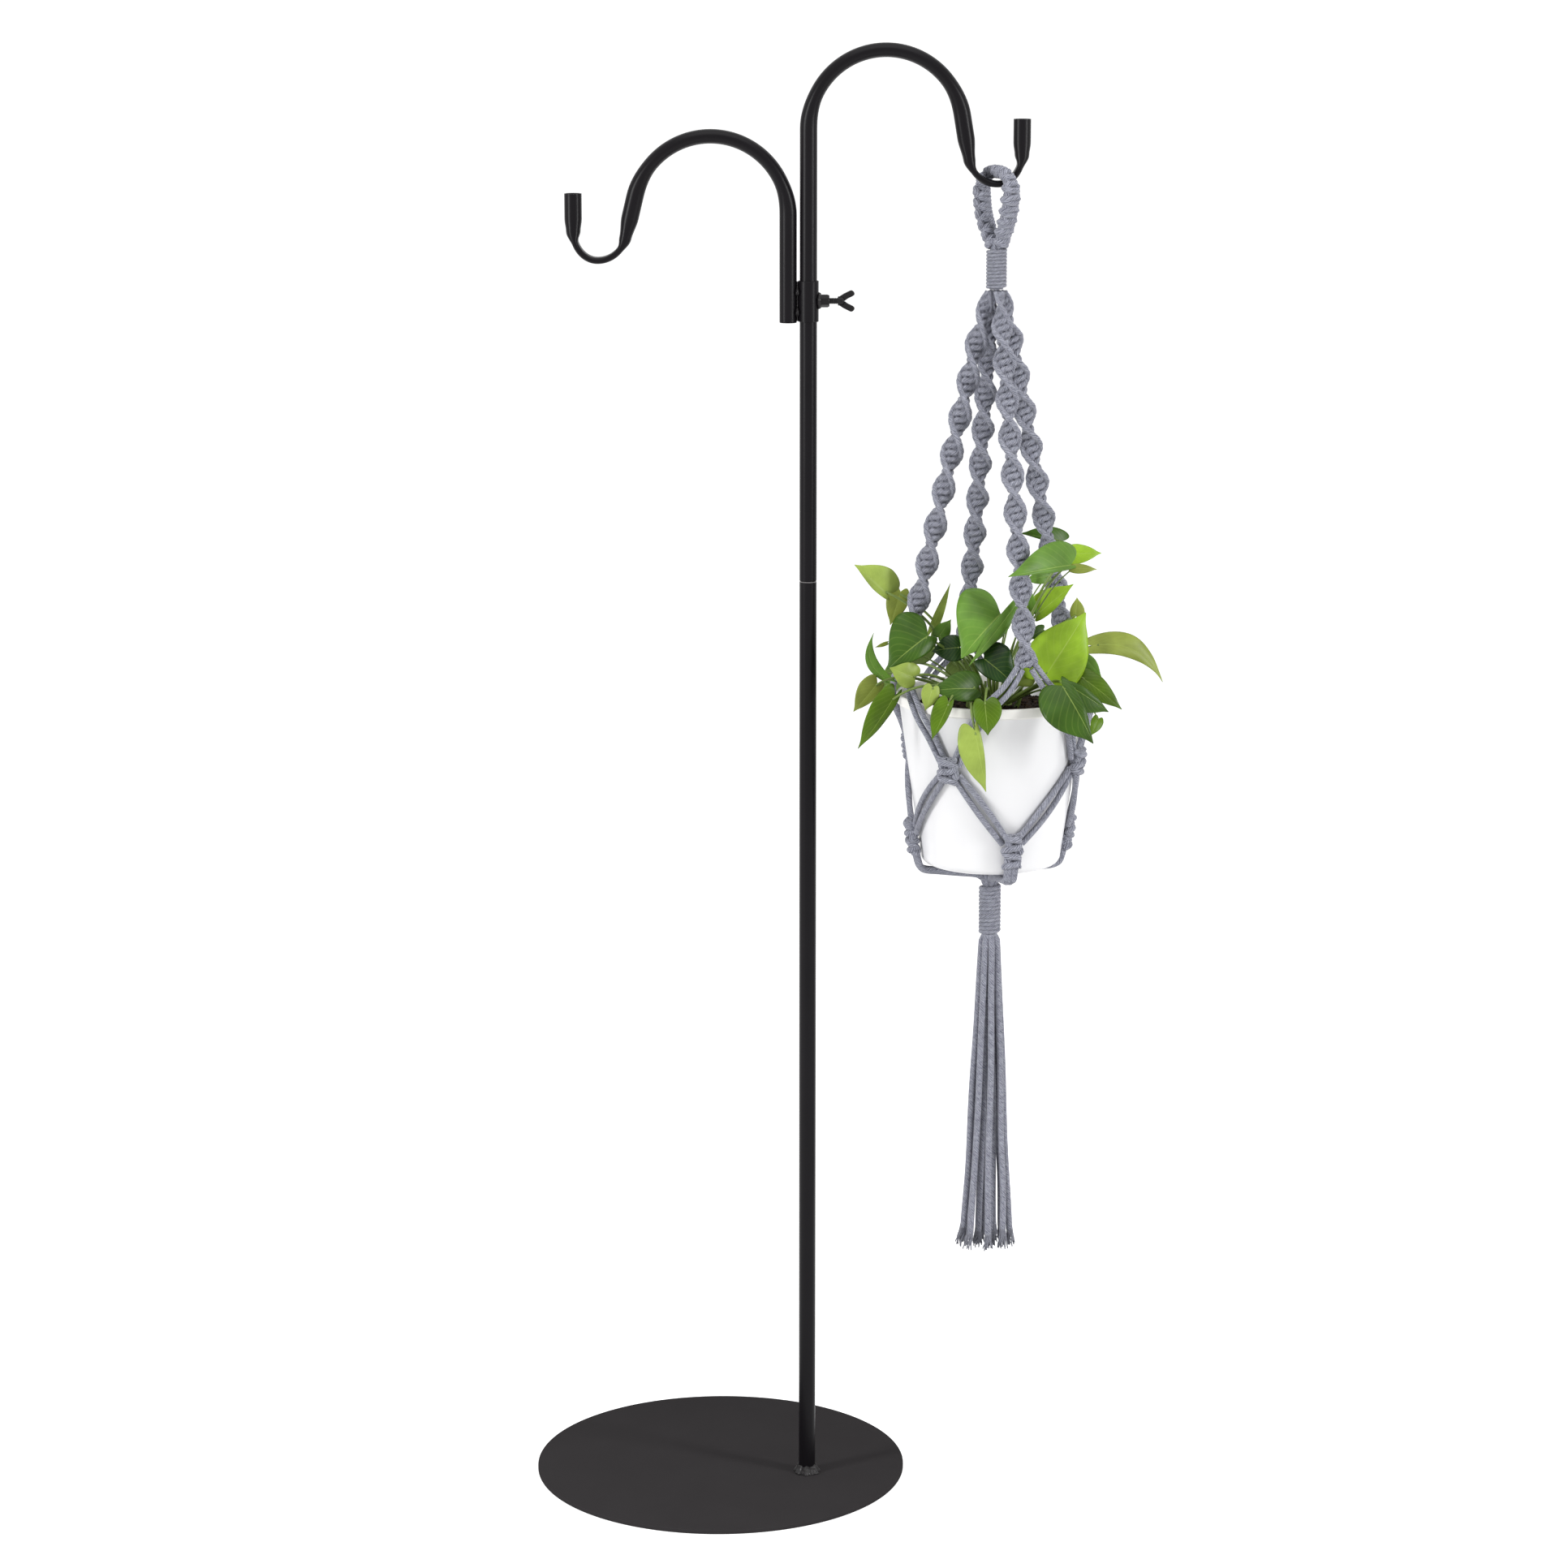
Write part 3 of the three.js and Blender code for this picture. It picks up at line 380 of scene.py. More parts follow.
def sennit_rule() -> GeometryRule:
    """The rule for a spiral sennit that hangs down from the origin.

    Two cords wind round the fillings, half a turn apart, and each half knot drops one pitch. They drop mostly
    at the edges, so the rungs lie level, and the edges run down as two smooth bands. The whole flat section
    turns half round in each lobe.
    """
    rule = GeometryRule("spiral_sennit", (
        "Length", "Pitch", "Lobe", "Half width", "Half depth", "Cord radius", "Start scale", "Grow length",
        "Edge drop", "Rung share", "Edge wave"), ("Steps", "Sides"))
    do, half_width = rule.math, rule["Half width"]
    share = do("DIVIDE", rule.add("GeometryNodeInputIndex"), do("SUBTRACT", rule["Steps"], 1.0))
    count = do("MULTIPLY", share, do("DIVIDE", rule["Length"], rule["Pitch"]))
    knot_turn = do("MULTIPLY", count, math.tau)
    waver = do("MULTIPLY", do("SINE", knot_turn), do("DIVIDE", rule["Edge drop"], math.tau))
    drop = do("MULTIPLY", do("ADD", count, waver), rule["Pitch"])
    scale = rule.add("ShaderNodeMapRange", Value=do("DIVIDE", drop, rule["Grow length"]),
                     To_Min=rule["Start scale"])
    lean = do("MULTIPLY", do("DIVIDE", drop, rule["Lobe"]), math.pi)
    wind = do("MULTIPLY", count, -math.pi)
    rung = do("MULTIPLY", half_width, rule["Rung share"])
    edge = do("ADD", half_width, do("MULTIPLY", do("COSINE", knot_turn), rule["Edge wave"]))
    places = []
    for turn in (0.0, math.pi):
        phase = do("ADD", wind, turn)
        places.append((do("MULTIPLY", do("COSINE", phase), rung),
                       do("MULTIPLY", do("SINE", phase), rule["Half depth"])))
    for side in (-1.0, 1.0):
        places += [(do("MULTIPLY", edge, side), 0.0), (do("MULTIPLY", half_width, 0.3 * side), 0.0)]
    radius = do("MULTIPLY", rule["Cord radius"], do("POWER", scale, 0.5))
    cords = []
    for wide, deep in places:
        flat = rule.add("ShaderNodeCombineXYZ", do("MULTIPLY", wide, scale), do("MULTIPLY", deep, scale),
                        do("MULTIPLY", drop, -1.0))
        spot = rule.add("ShaderNodeVectorRotate", Vector=flat, Angle=lean, rotation_type="Z_AXIS")
        points = rule.add("GeometryNodeMeshLine", Count=rule["Steps"])
        moved = rule.add("GeometryNodeSetPosition", Geometry=points, Position=spot)
        cords.append(rule.cord(rule.add("GeometryNodeMeshToCurve", Mesh=moved), radius))
    return rule.close(*cords)


def winding_rule() -> GeometryRule:
    """The rule for one cord or thread wound round an axis, going up from the origin."""
    rule = GeometryRule("winding", ("Turns", "Height", "Path radius", "Cord radius"), ("Steps", "Sides"))
    spiral = rule.add("GeometryNodeCurveSpiral", Resolution=rule["Steps"], Rotations=rule["Turns"],
                      Start_Radius=rule["Path radius"], End_Radius=rule["Path radius"],
                      Height=rule["Height"], Reverse=True)
    return rule.close(rule.cord(spiral, rule["Cord radius"]))


def crumb_rule() -> GeometryRule:
    """The rule that scatters crumbs of soil and bark over a surface."""
    rule = GeometryRule("soil_crumbs", ("Density", "Smallest", "Largest"), ("Seed",))
    soil, seed, random = rule["Geometry"], rule["Seed"], "FunctionNodeRandomValue"
    spread = rule.add("GeometryNodeDistributePointsOnFaces", Mesh=soil, Density=rule["Density"], Seed=seed)
    crumb = rule.add("GeometryNodeMeshIcoSphere", Radius=1.0, Subdivisions=1)
    size = rule.add(random, None, None, rule["Smallest"], rule["Largest"], Seed=seed, data_type="FLOAT")
    squash = rule.add(random, (0.6, 0.6, 0.4), (1.5, 1.0, 0.9), Seed=5, data_type="FLOAT_VECTOR")
    scale = rule.add("ShaderNodeVectorMath", squash, Scale=size.outputs[1], operation="SCALE")
    turn = rule.add(random, (0.0, 0.0, 0.0), (6.28, 6.28, 6.28), Seed=9, data_type="FLOAT_VECTOR")
    placed = rule.add("GeometryNodeInstanceOnPoints", Points=spread, Instance=crumb, Rotation=turn,
                      Scale=scale)
    return rule.close(placed, soil)


# ------------------------------------------------------------------ finishes
class Surface(Nodes):
    """A material's tree round one principled shader."""

    def __init__(self, name: str, **constants: object) -> None:
        """Makes the material.

        Args:
            name: What the real finish is.
            constants: Shader inputs that are the same all over, with underscores for spaces.
        """
        self.material = bpy.data.materials.new(name)
        self.material.use_nodes = True
        super().__init__(self.material.node_tree)
        self.shader = self.tree.nodes["Principled BSDF"]
        for label, value in constants.items():
            self.shader.inputs[label.replace("_", " ")].default_value = value
        self.where = self.add("ShaderNodeTexCoord").outputs["Object"]

    def close(self, tone: bpy.types.Node, bump: bpy.types.Node,
              rough: bpy.types.Node | None = None) -> bpy.types.Material:
        """Links the colour, the relief and the roughness, and gives the material."""
        for label, node in (("Base Color", tone), ("Normal", bump), ("Roughness", rough)):
            if node:
                self.tree.links.new(node.outputs[0], self.shader.inputs[label])
        return self.material


@dataclass(frozen=True)
class PowderCoat:
    """Polyester powder, sprayed on mild steel and baked: satin black with a faint orange peel."""

    name: str = "satin_black_powder_coat"
    colour: str = "#0d0b0e"
    worn: str = "#161417"
    roughness: float = 0.3
    specular: float = 0.11
    peel_mm: float = 1.4
    lump_mm: float = 0.0

    def material(self) -> bpy.types.Material:
        """The coat as a material."""
        coat = Surface(self.name, Specular_IOR_Level=self.specular)
        # The powder levels into waves 1.4 mm apart, and varies a little over a hand's width.
        peel = coat.add("ShaderNodeTexNoise", Vector=coat.where, Scale=1 / (self.peel_mm * MM), Detail=3.0)
        drift = coat.add("ShaderNodeTexNoise", Vector=coat.where, Scale=14.0, Detail=4.0)
        tone = coat.add("ShaderNodeMixRGB", drift, self.colour, self.worn)
        rough = coat.add("ShaderNodeMapRange", Value=drift, To_Min=self.roughness - 0.05,
                         To_Max=self.roughness + 0.07)
        bump = coat.add("ShaderNodeBump", Height=peel, Strength=0.16, Distance=0.0002)
        if self.lump_mm:
            # Weld ripples under the coat, a few millimetres apart.
            lumps = coat.add("ShaderNodeTexVoronoi", Vector=coat.where, Scale=1 / (self.lump_mm * MM))
            bump = coat.add("ShaderNodeBump", Height=lumps, Strength=0.7, Distance=0.0006, Normal=bump)
        return coat.close(tone, bump, rough)


@dataclass(frozen=True)
class BlackZinc:
    """Black passivated zinc plate on steel fasteners: dark metal with a fine mottled grain."""

    name: str = "black_zinc_plate"
    colour: str = "#2c2b2c"
    dull: str = "#161516"
    roughness: float = 0.42
    grain_mm: float = 0.5

    def material(self) -> bpy.types.Material:
        """The plate as a material."""
        zinc = Surface(self.name, Metallic=0.85)
        grain = zinc.add("ShaderNodeTexNoise", Vector=zinc.where, Scale=1 / (self.grain_mm * MM), Detail=5.0)
        tone = zinc.add("ShaderNodeMixRGB", grain, self.dull, self.colour)
        rough = zinc.add("ShaderNodeMapRange", Value=grain, To_Min=self.roughness - 0.1,
                         To_Max=self.roughness + 0.12)
        bump = zinc.add("ShaderNodeBump", Height=grain, Strength=0.2, Distance=0.0001)
        return zinc.close(tone, bump, rough)


@dataclass(frozen=True)
class CottonCord:
    """Combed cotton cord: eight yarns twisted together, grey-blue, matt and fibrous, with painted shade
    between the yarns and in small gaps.
    """

    name: str = "twisted_cotton_cord"
    light: str = "#bcbecb"
    mid: str = "#888a99"
    # The dark colour is painted shade, laid into the grooves between the yarns and into small gaps among the
    # fibres.
    dark: str = "#373945"
    yarns: int = 8
    lay_mm: float = 20.0
    depth_mm: float = 0.7

    def material(self) -> bpy.types.Material:
        """The cord as a material that follows the attributes along and dial."""
        cord = Surface(self.name, Roughness=0.92, Specular_IOR_Level=0.2, Sheen_Weight=0.25,
                       Sheen_Roughness=0.6)
        along = cord.add("ShaderNodeAttribute", attribute_name="along").outputs["Fac"]
        dial = cord.add("ShaderNodeAttribute", attribute_name="dial").outputs["Vector"]
        twist = cord.math("MULTIPLY", along, math.tau / (self.lay_mm * MM))
        laid = cord.add("ShaderNodeVectorRotate", Vector=dial, Angle=twist, rotation_type="Z_AXIS")
        x, y, _ = cord.add("ShaderNodeSeparateXYZ", laid).outputs
        phase = cord.math("MULTIPLY", cord.math("ARCTAN2", y, x), self.yarns / 2)
        ridge = cord.math("ABSOLUTE", cord.math("SINE", phase))
        # Fibres are far too fine to show, so they are drawn as streaks 0.6 mm wide along each yarn.
        flow = cord.add("ShaderNodeCombineXYZ", x, y, cord.math("MULTIPLY", along, 90.0))
        streak = cord.add("ShaderNodeTexNoise", Vector=flow, Scale=3.2, Detail=4.0, Roughness=0.65)
        fleck = cord.add("ShaderNodeTexNoise", Vector=cord.where, Scale=520.0, Detail=3.0, Roughness=0.7)
        # Painted shade: the grooves between the yarns take the dark colour.
        groove = cord.add("ShaderNodeMapRange", Value=ridge, From_Max=0.85)
        body = cord.add("ShaderNodeMixRGB", groove, self.dark, self.mid)
        spots = cord.add("ShaderNodeMapRange", Value=streak, From_Min=0.42, From_Max=0.68)
        pale = cord.add("ShaderNodeMixRGB", spots, body, self.light)
        # Painted shade: dark flecks at random spots stand for shade in small gaps among the fibres.
        gap_shade = cord.add("ShaderNodeMapRange", Value=fleck, From_Min=0.52, From_Max=0.72, To_Max=0.5)
        tone = cord.add("ShaderNodeMixRGB", gap_shade, pale, self.dark)
        height = cord.math("ADD", ridge, streak)
        bump = cord.add("ShaderNodeBump", Height=height, Strength=0.8, Distance=self.depth_mm * MM)
        return cord.close(tone, bump)


@dataclass(frozen=True)
class PotPlastic:
    """Injection-moulded polypropylene: white, satin gloss, with faint flow marks and a warmer rim."""

    name: str = "moulded_white_polypropylene"
    colour: str = "#f3f3f4"
    shade: str = "#e6e6e8"
    rim: str = "#f2f0ec"
    rim_from: float = 0.7715

    def material(self) -> bpy.types.Material:
        """The plastic as a material."""
        pot = Surface(self.name, Specular_IOR_Level=0.5, IOR=1.49, Coat_Weight=0.15, Coat_Roughness=0.15)
        flow = pot.add("ShaderNodeTexNoise", Vector=pot.where, Scale=18.0, Detail=2.0)
        height = pot.add("ShaderNodeSeparateXYZ", pot.where).outputs["Z"]
        band = pot.add("ShaderNodeMapRange", Value=height, From_Min=self.rim_from,
                       From_Max=self.rim_from + 0.0008)
        body = pot.add("ShaderNodeMixRGB", flow, self.colour, self.shade)
        tone = pot.add("ShaderNodeMixRGB", band, body, self.rim)
        rough = pot.add("ShaderNodeMapRange", Value=flow, To_Min=0.26, To_Max=0.36)
        grain = pot.add("ShaderNodeTexNoise", Vector=pot.where, Scale=900.0, Detail=2.0)
        return pot.close(tone, pot.add("ShaderNodeBump", Height=grain, Strength=0.05, Distance=0.0001), rough)


@dataclass(frozen=True)
class PottingSoil:
    """Damp potting soil: nearly black, with brown bark and no gloss."""

    name: str = "damp_potting_soil"
    dark: str = "#1a1410"
    bark: str = "#4a3626"
    crumb_mm: float = 3.0

    def material(self) -> bpy.types.Material:
        """The soil as a material."""
        soil = Surface(self.name, Roughness=0.95, Specular_IOR_Level=0.15)
        crumbs = soil.add("ShaderNodeTexVoronoi", Vector=soil.where, Scale=1 / (self.crumb_mm * MM))
        grain = soil.add("ShaderNodeTexNoise", Vector=soil.where, Scale=260.0, Detail=6.0)
        share = soil.add("ShaderNodeMapRange", Value=grain, From_Min=0.45, From_Max=0.75)
        bump = soil.add("ShaderNodeBump", Height=crumbs, Strength=0.6, Distance=0.001)
        bump = soil.add("ShaderNodeBump", Height=grain, Strength=0.5, Distance=0.0006, Normal=bump)
        return soil.close(soil.add("ShaderNodeMixRGB", share, self.dark, self.bark), bump)


@dataclass(frozen=True)
class LeafSkin:
    """Waxy leaf skin: glossy above and dull below, a pale midrib and soft side veins, no two leaves alike."""

    name: str
    gloss: float
    paler: float
    vein: str = "#b9cf6a"

    def material(self) -> bpy.types.Material:
        """The skin as a material that follows the attributes blade and tint."""
        leaf = Surface(self.name, Specular_IOR_Level=0.22)
        blade = leaf.add("ShaderNodeAttribute", attribute_name="blade").outputs["Vector"]
        tint = leaf.add("ShaderNodeAttribute", attribute_name="tint").outputs["Color"]
        part = leaf.add("ShaderNodeSeparateXYZ", blade)
        side = leaf.math("ABSOLUTE", part.outputs["X"])
        midrib = leaf.add("ShaderNodeMapRange", Value=side, From_Min=0.035, From_Max=0.0)
        # About eight side veins leave the midrib on each side and bend towards the tip.
        rise = leaf.math("SUBTRACT", part.outputs["Y"], leaf.math("MULTIPLY", side, 0.42))
        wave = leaf.math("SINE", leaf.math("MULTIPLY", rise, 8 * math.tau))
        veins = leaf.add("ShaderNodeMapRange", Value=wave, From_Min=0.72, From_Max=1.0, To_Max=0.06)
        cloud = leaf.add("ShaderNodeTexNoise", Vector=leaf.where, Scale=45.0, Detail=4.0)
        shade = leaf.add("ShaderNodeMapRange", Value=cloud, From_Min=0.3, From_Max=0.7, To_Min=0.74,
                         To_Max=1.18)
        toned = leaf.add("ShaderNodeVectorMath", tint, Scale=shade, operation="SCALE")
        pale = leaf.add("ShaderNodeMixRGB", self.paler, toned, "#9db06a")
        lined = leaf.add("ShaderNodeMixRGB", veins, pale, self.vein)
        tone = leaf.add("ShaderNodeMixRGB", leaf.math("MULTIPLY", midrib, 0.4), lined, self.vein)
        rough = leaf.add("ShaderNodeMapRange", Value=cloud, To_Min=self.gloss - 0.06, To_Max=self.gloss + 0.1)
        relief = leaf.math("ADD", veins, midrib)
        bump = leaf.add("ShaderNodeBump", Height=relief, Strength=0.35, Distance=0.0005, invert=True)
        return leaf.close(tone, bump, rough)


@dataclass(frozen=True)
class StalkSkin:
    """Leaf stalk: smooth, pale green, a little browner in places."""

    name: str = "green_leaf_stalk"
    colour: str = "#7d9a45"
    brown: str = "#5f6b34"

    def material(self) -> bpy.types.Material:
        """The stalk as a material."""
        stalk = Surface(self.name, Roughness=0.45)
        cloud = stalk.add("ShaderNodeTexNoise", Vector=stalk.where, Scale=60.0, Detail=3.0)
        tone = stalk.add("ShaderNodeMixRGB", cloud, self.colour, self.brown)
        return stalk.close(tone, stalk.add("ShaderNodeBump", Height=cloud, Strength=0.2, Distance=0.0003))


class Workshop:
    """Every finish and every Geometry Nodes rule, made once, with the ways to use them."""

    def __init__(self) -> None:
        """Makes the materials and the trees."""
        self.coat = PowderCoat().material()
        self.matt = PowderCoat("matt_black_powder_coat", "#353334", "#3a3839", 0.8, 0.0).material()
        # Painted highlight: a light grey coat for the chamfer at the pole's joint.
        self.edge = PowderCoat("painted_highlight_tube_edge", "#6d6a6b", "#8b8889", 0.4, 0.3).material()
        self.weld = PowderCoat("coated_weld_bead", worn="#2c2a2b", specular=0.2, lump_mm=3.5).material()
        self.zinc = BlackZinc().material()
        self.cotton = CottonCord().material()
        self.plastic = PotPlastic().material()
        self.earth = PottingSoil().material()
        self.leaf = LeafSkin("leaf_upper_skin", 0.34, 0.0).material()
        self.underleaf = LeafSkin("leaf_lower_skin", 0.55, 0.3).material()
        self.stalk = StalkSkin().material()
        self.cords, self.sennit = cord_rule(), sennit_rule()
        self.winding, self.crumbs = winding_rule(), crumb_rule()

    def steel(self, name: str, body: str, node: str, shapes: Sequence[Shape],
              finish: bpy.types.Material | None = None, sharp: float = 30.0) -> bpy.types.Object:
        """A coated piece of the stand, placed from the pole's axis, made and mounted.

        Args:
            name: Piece name.
            body: The CAD body that it rides on.
            node: The CAD node that it replaces.
            shapes: Its closed shapes.
            finish: Its coat, the satin one if none is given.
            sharp: Angle in degrees above which an edge stays sharp.

        Returns:
            The piece.
        """
        made = make_piece(name, shapes, finish or self.coat, POLE_AT, sharp)
        return mount(made, body, "powder_coat", node)

    def tie(self, name: str, node: str, lines: Sequence[Line], sides: int = 10,
            finish: bpy.types.Material | None = None, slot: str = "cotton_cord") -> bpy.types.Object:
        """Round cords that follow lines, as one mounted piece of the planter.

        Args:
            name: Piece name.
            node: The CAD node that it replaces.
            lines: Points and radii in millimetres from the pot's axis, one pair for each cord.
            sides: Points in each ring.
            finish: Its material, cotton if none is given.
            slot: Name of its material slot.

        Returns:
            The piece.
        """
        points, edges, radii, start = [], [], [], 0
        for line, radius in lines:
            count = len(line)
            points.append((line + np.asarray(POT_AT, float)) * MM)
            radii.append(np.broadcast_to(np.asarray(radius, float) * MM, count))
            edges += [(start + i, start + i + 1) for i in range(count - 1)]
            start += count
        made = blank(name)
        made.data.from_pydata(np.vstack(points).tolist(), edges, [])
        thick = made.data.attributes.new("thick", "FLOAT", "POINT")
        thick.data.foreach_set("value", np.concatenate(radii).astype(np.float32))
        return mount(self.cords.grow(made, finish or self.cotton, Sides=sides), "planter", slot, node)


# ------------------------------------------------------------------ steel stand
@dataclass
class Foot:
    """Round steel foot with the weld bead that holds the pole."""

    radius: float = 180.0
    thick: float = 4.0
    edge: float = 0.6
    tube_radius: float = 8.0
    weld_outer: float = 12.2
    weld_height: float = 8.0
    weld_slope: tuple[tuple[float, float], ...] = ((0.66, 0.38), (0.42, 0.62), (0.22, 0.88))

    def build(self, shop: Workshop) -> None:
        """Makes the plate, its edges rounded by the coat, and the bead."""
        edge, reach = self.edge, self.radius - self.edge
        profile = [(0.0, 0.0), *arc(reach, edge, edge, -90, 0, 5),
                   *arc(reach, self.thick - edge, edge, 0, 90, 5), (0.0, self.thick)]
        plate = make_piece("foot_plate", [turned(profile, 192)], shop.matt, (0, 0, 0), 30)
        mount(plate, "base", "powder_coat", "base_plate")
        shop.steel("foot_weld_bead", "base", "foot_weld", [self.bead()], shop.weld, 60)

    def bead(self) -> Shape:
        """The weld bead: a fillet whose edge swells and shrinks in hand-laid ripples."""
        inner, floor, angle = self.tube_radius + 0.05, self.thick, circle(160)
        swell = 0.9 * (np.sin(7 * angle) + 0.6 * np.sin(11 * angle + 1)) + 0.18 * np.sin(37 * angle)
        reach, top = self.weld_outer + swell, floor + self.weld_height + 0.7 * swell
        slope = [(mix(inner, reach, out), mix(floor, top, up)) for out, up in self.weld_slope]
        section = [(inner, floor), (reach, floor), (reach + 0.1, floor + 0.7), (reach - 0.5, floor + 1.7),
                   *slope, (inner + 0.5, top), (inner, top)]
        rings = [xyz(r * np.cos(angle), r * np.sin(angle), z) for r, z in section]
        return loft(np.stack(rings, axis=1), closed=True)


@dataclass
class Hook:
    """A tube that bends over, leans back and turns up into a cup whose bar is pressed flat."""

    bend_z: float
    bend_radius: float
    lean: float
    limb: float
    tip_z: float
    foot_z: float
    side: int
    offset_x: float
    tube_radius: float = 8.0
    wall: float = 1.2
    cup_radius: float = 26.3
    tip_reach: float = 22.2
    flat_half: float = 3.35
    flat_half_width: float = 9.2
    oval_half: float = 6.65
    oval_half_width: float = 8.8
    throat_flat: float = 0.45
    tip_flat: float = 0.25
    rim: float = 0.35
    sides: int = 40

    def stations(self) -> np.ndarray:
        """Rows along the middle line: place and direction in x and z, ovalness, flatness."""
        lean, bend, cup, tip = math.radians(self.lean), self.bend_radius, self.cup_radius, self.tip_reach
        rows = []

        def run(*columns: Numbers) -> None:
            rows.append(np.stack(np.broadcast_arrays(*columns), axis=-1))

        run(0.0, np.array([self.foot_z, self.foot_z + 0.4, self.bend_z - 1]), 0, 1, 0, 0)
        t = np.linspace(0, 1, 57)
        turn = mix(math.pi, lean, t)
        run(bend * (1 + np.cos(turn)), self.bend_z + bend * np.sin(turn), np.sin(turn), -np.cos(turn),
            smooth(6 * t) * smooth(6 * (1 - t)), 0)
        down = np.array([math.sin(lean), -math.cos(lean)])
        start = np.array([bend * (1 + math.cos(lean)), self.bend_z + bend * math.sin(lean)])
        t = np.linspace(0, 1, 17)[1:]
        run(*(start[:, None] + down[:, None] * self.limb * t), *down, 0, self.throat_flat * smooth(2 * t - 1))
        x, z = start + down * self.limb + np.array([math.cos(lean), math.sin(lean)]) * cup
        t = np.linspace(0, 1, 25)[1:]
        turn = mix(math.pi + lean, 1.5 * math.pi, t)
        run(x + cup * np.cos(turn), z + cup * np.sin(turn), -np.sin(turn), np.cos(turn), 0,
            mix(self.throat_flat, 1, smooth(t / 0.35)))
        t = np.linspace(0, 1, 29)[1:]
        turn = mix(1.5 * math.pi, 2 * math.pi, t)
        heading = unit(np.stack([-tip * np.sin(turn), cup * np.cos(turn)], axis=-1))
        run(x + tip * np.cos(turn), z + cup * np.sin(turn), *heading.T, 0,
            mix(1, self.tip_flat, smooth((t - 0.72) / 0.28)))
        rise = np.linspace(z, self.tip_z, 13)[1:]
        run(x + tip, rise, 0, 1, 0, self.tip_flat * smooth(1 - 3 * (rise - z) / (self.tip_z - z)))
        return np.concatenate(rows)

    def skin(self, inset: float) -> np.ndarray:
        """Every ring of the wall, inset from the outside."""
        x, z, run_x, run_z, oval, flat = self.stations().T[..., None]
        half = mix(mix(self.tube_radius, self.oval_half, oval), self.flat_half, flat) - inset
        wide = mix(mix(self.tube_radius, self.oval_half_width, oval), self.flat_half_width, flat) - inset
        angle = (np.arange(self.sides) + 0.5) / self.sides * 2 * np.pi
        cosine, sine, power = np.cos(angle), np.sin(angle), 2 / mix(2, 2.6, flat)
        across = half * np.sign(cosine) * np.abs(cosine) ** power
        # The press leaves a shallow groove on both broad sides, deeper where the bar runs upright.
        press = 0.5 * flat * (0.35 + 0.65 * np.abs(run_z))
        across = across - press * (np.abs(sine) < 0.45) * np.sign(cosine)
        return xyz(self.offset_x + self.side * (x - run_z * across),
                   wide * np.sign(sine) * np.abs(sine) ** power, z + run_x * across)

    def tube(self) -> Shape:
        """The whole tube with its bore, closed at both rims."""
        outer, inner = self.skin(0), self.skin(self.wall)
        outer[0] = self.skin(self.rim)[0]
        return loft(np.concatenate([outer, inner[::-1]]), closed=True)


@dataclass
class Pole:
    """Two lengths of steel tube, screwed together, the upper one bent into the hook."""

    radius: float = 8.0
    wall: float = 1.2
    foot_z: float = 4.3
    joint_z: float = 887.5
    chamfer: float = 0.6

    def build(self, shop: Workshop) -> None:
        """Makes both tubes; the chamfer at the end of the lower one carries a painted highlight in light
        grey.
        """
        bore, neck = self.radius - self.wall, self.joint_z - self.chamfer
        profile = [(bore, self.foot_z), (self.radius, self.foot_z), (self.radius, neck),
                   (self.radius - self.chamfer, self.joint_z), (bore, self.joint_z)]
        lower = shop.steel("lower_pole_tube", "base", "lower_pole", [turned(profile, 48, closed=True)])
        # Painted highlight: the faces above the neck take the light grey coat.
        lower.data.materials.append(shop.edge)
        for face in lower.data.polygons:
            face.material_index = int(face.center.z > neck * MM)
        shop.steel("upper_pole_and_hook", "upper_pole", "upper_pole_hook", [TOP_HOOK.tube()])


TOP_HOOK = Hook(bend_z=1306.5, bend_radius=70.8, lean=9.5, limb=40.7, tip_z=1315.0, foot_z=887.8, side=1,
                offset_x=0.0)
SIDE_HOOK = Hook(bend_z=1228.0, bend_radius=71.3, lean=13.5, limb=39.3, tip_z=1247.4, foot_z=1129.0, side=-1,
                 offset_x=-18.7)


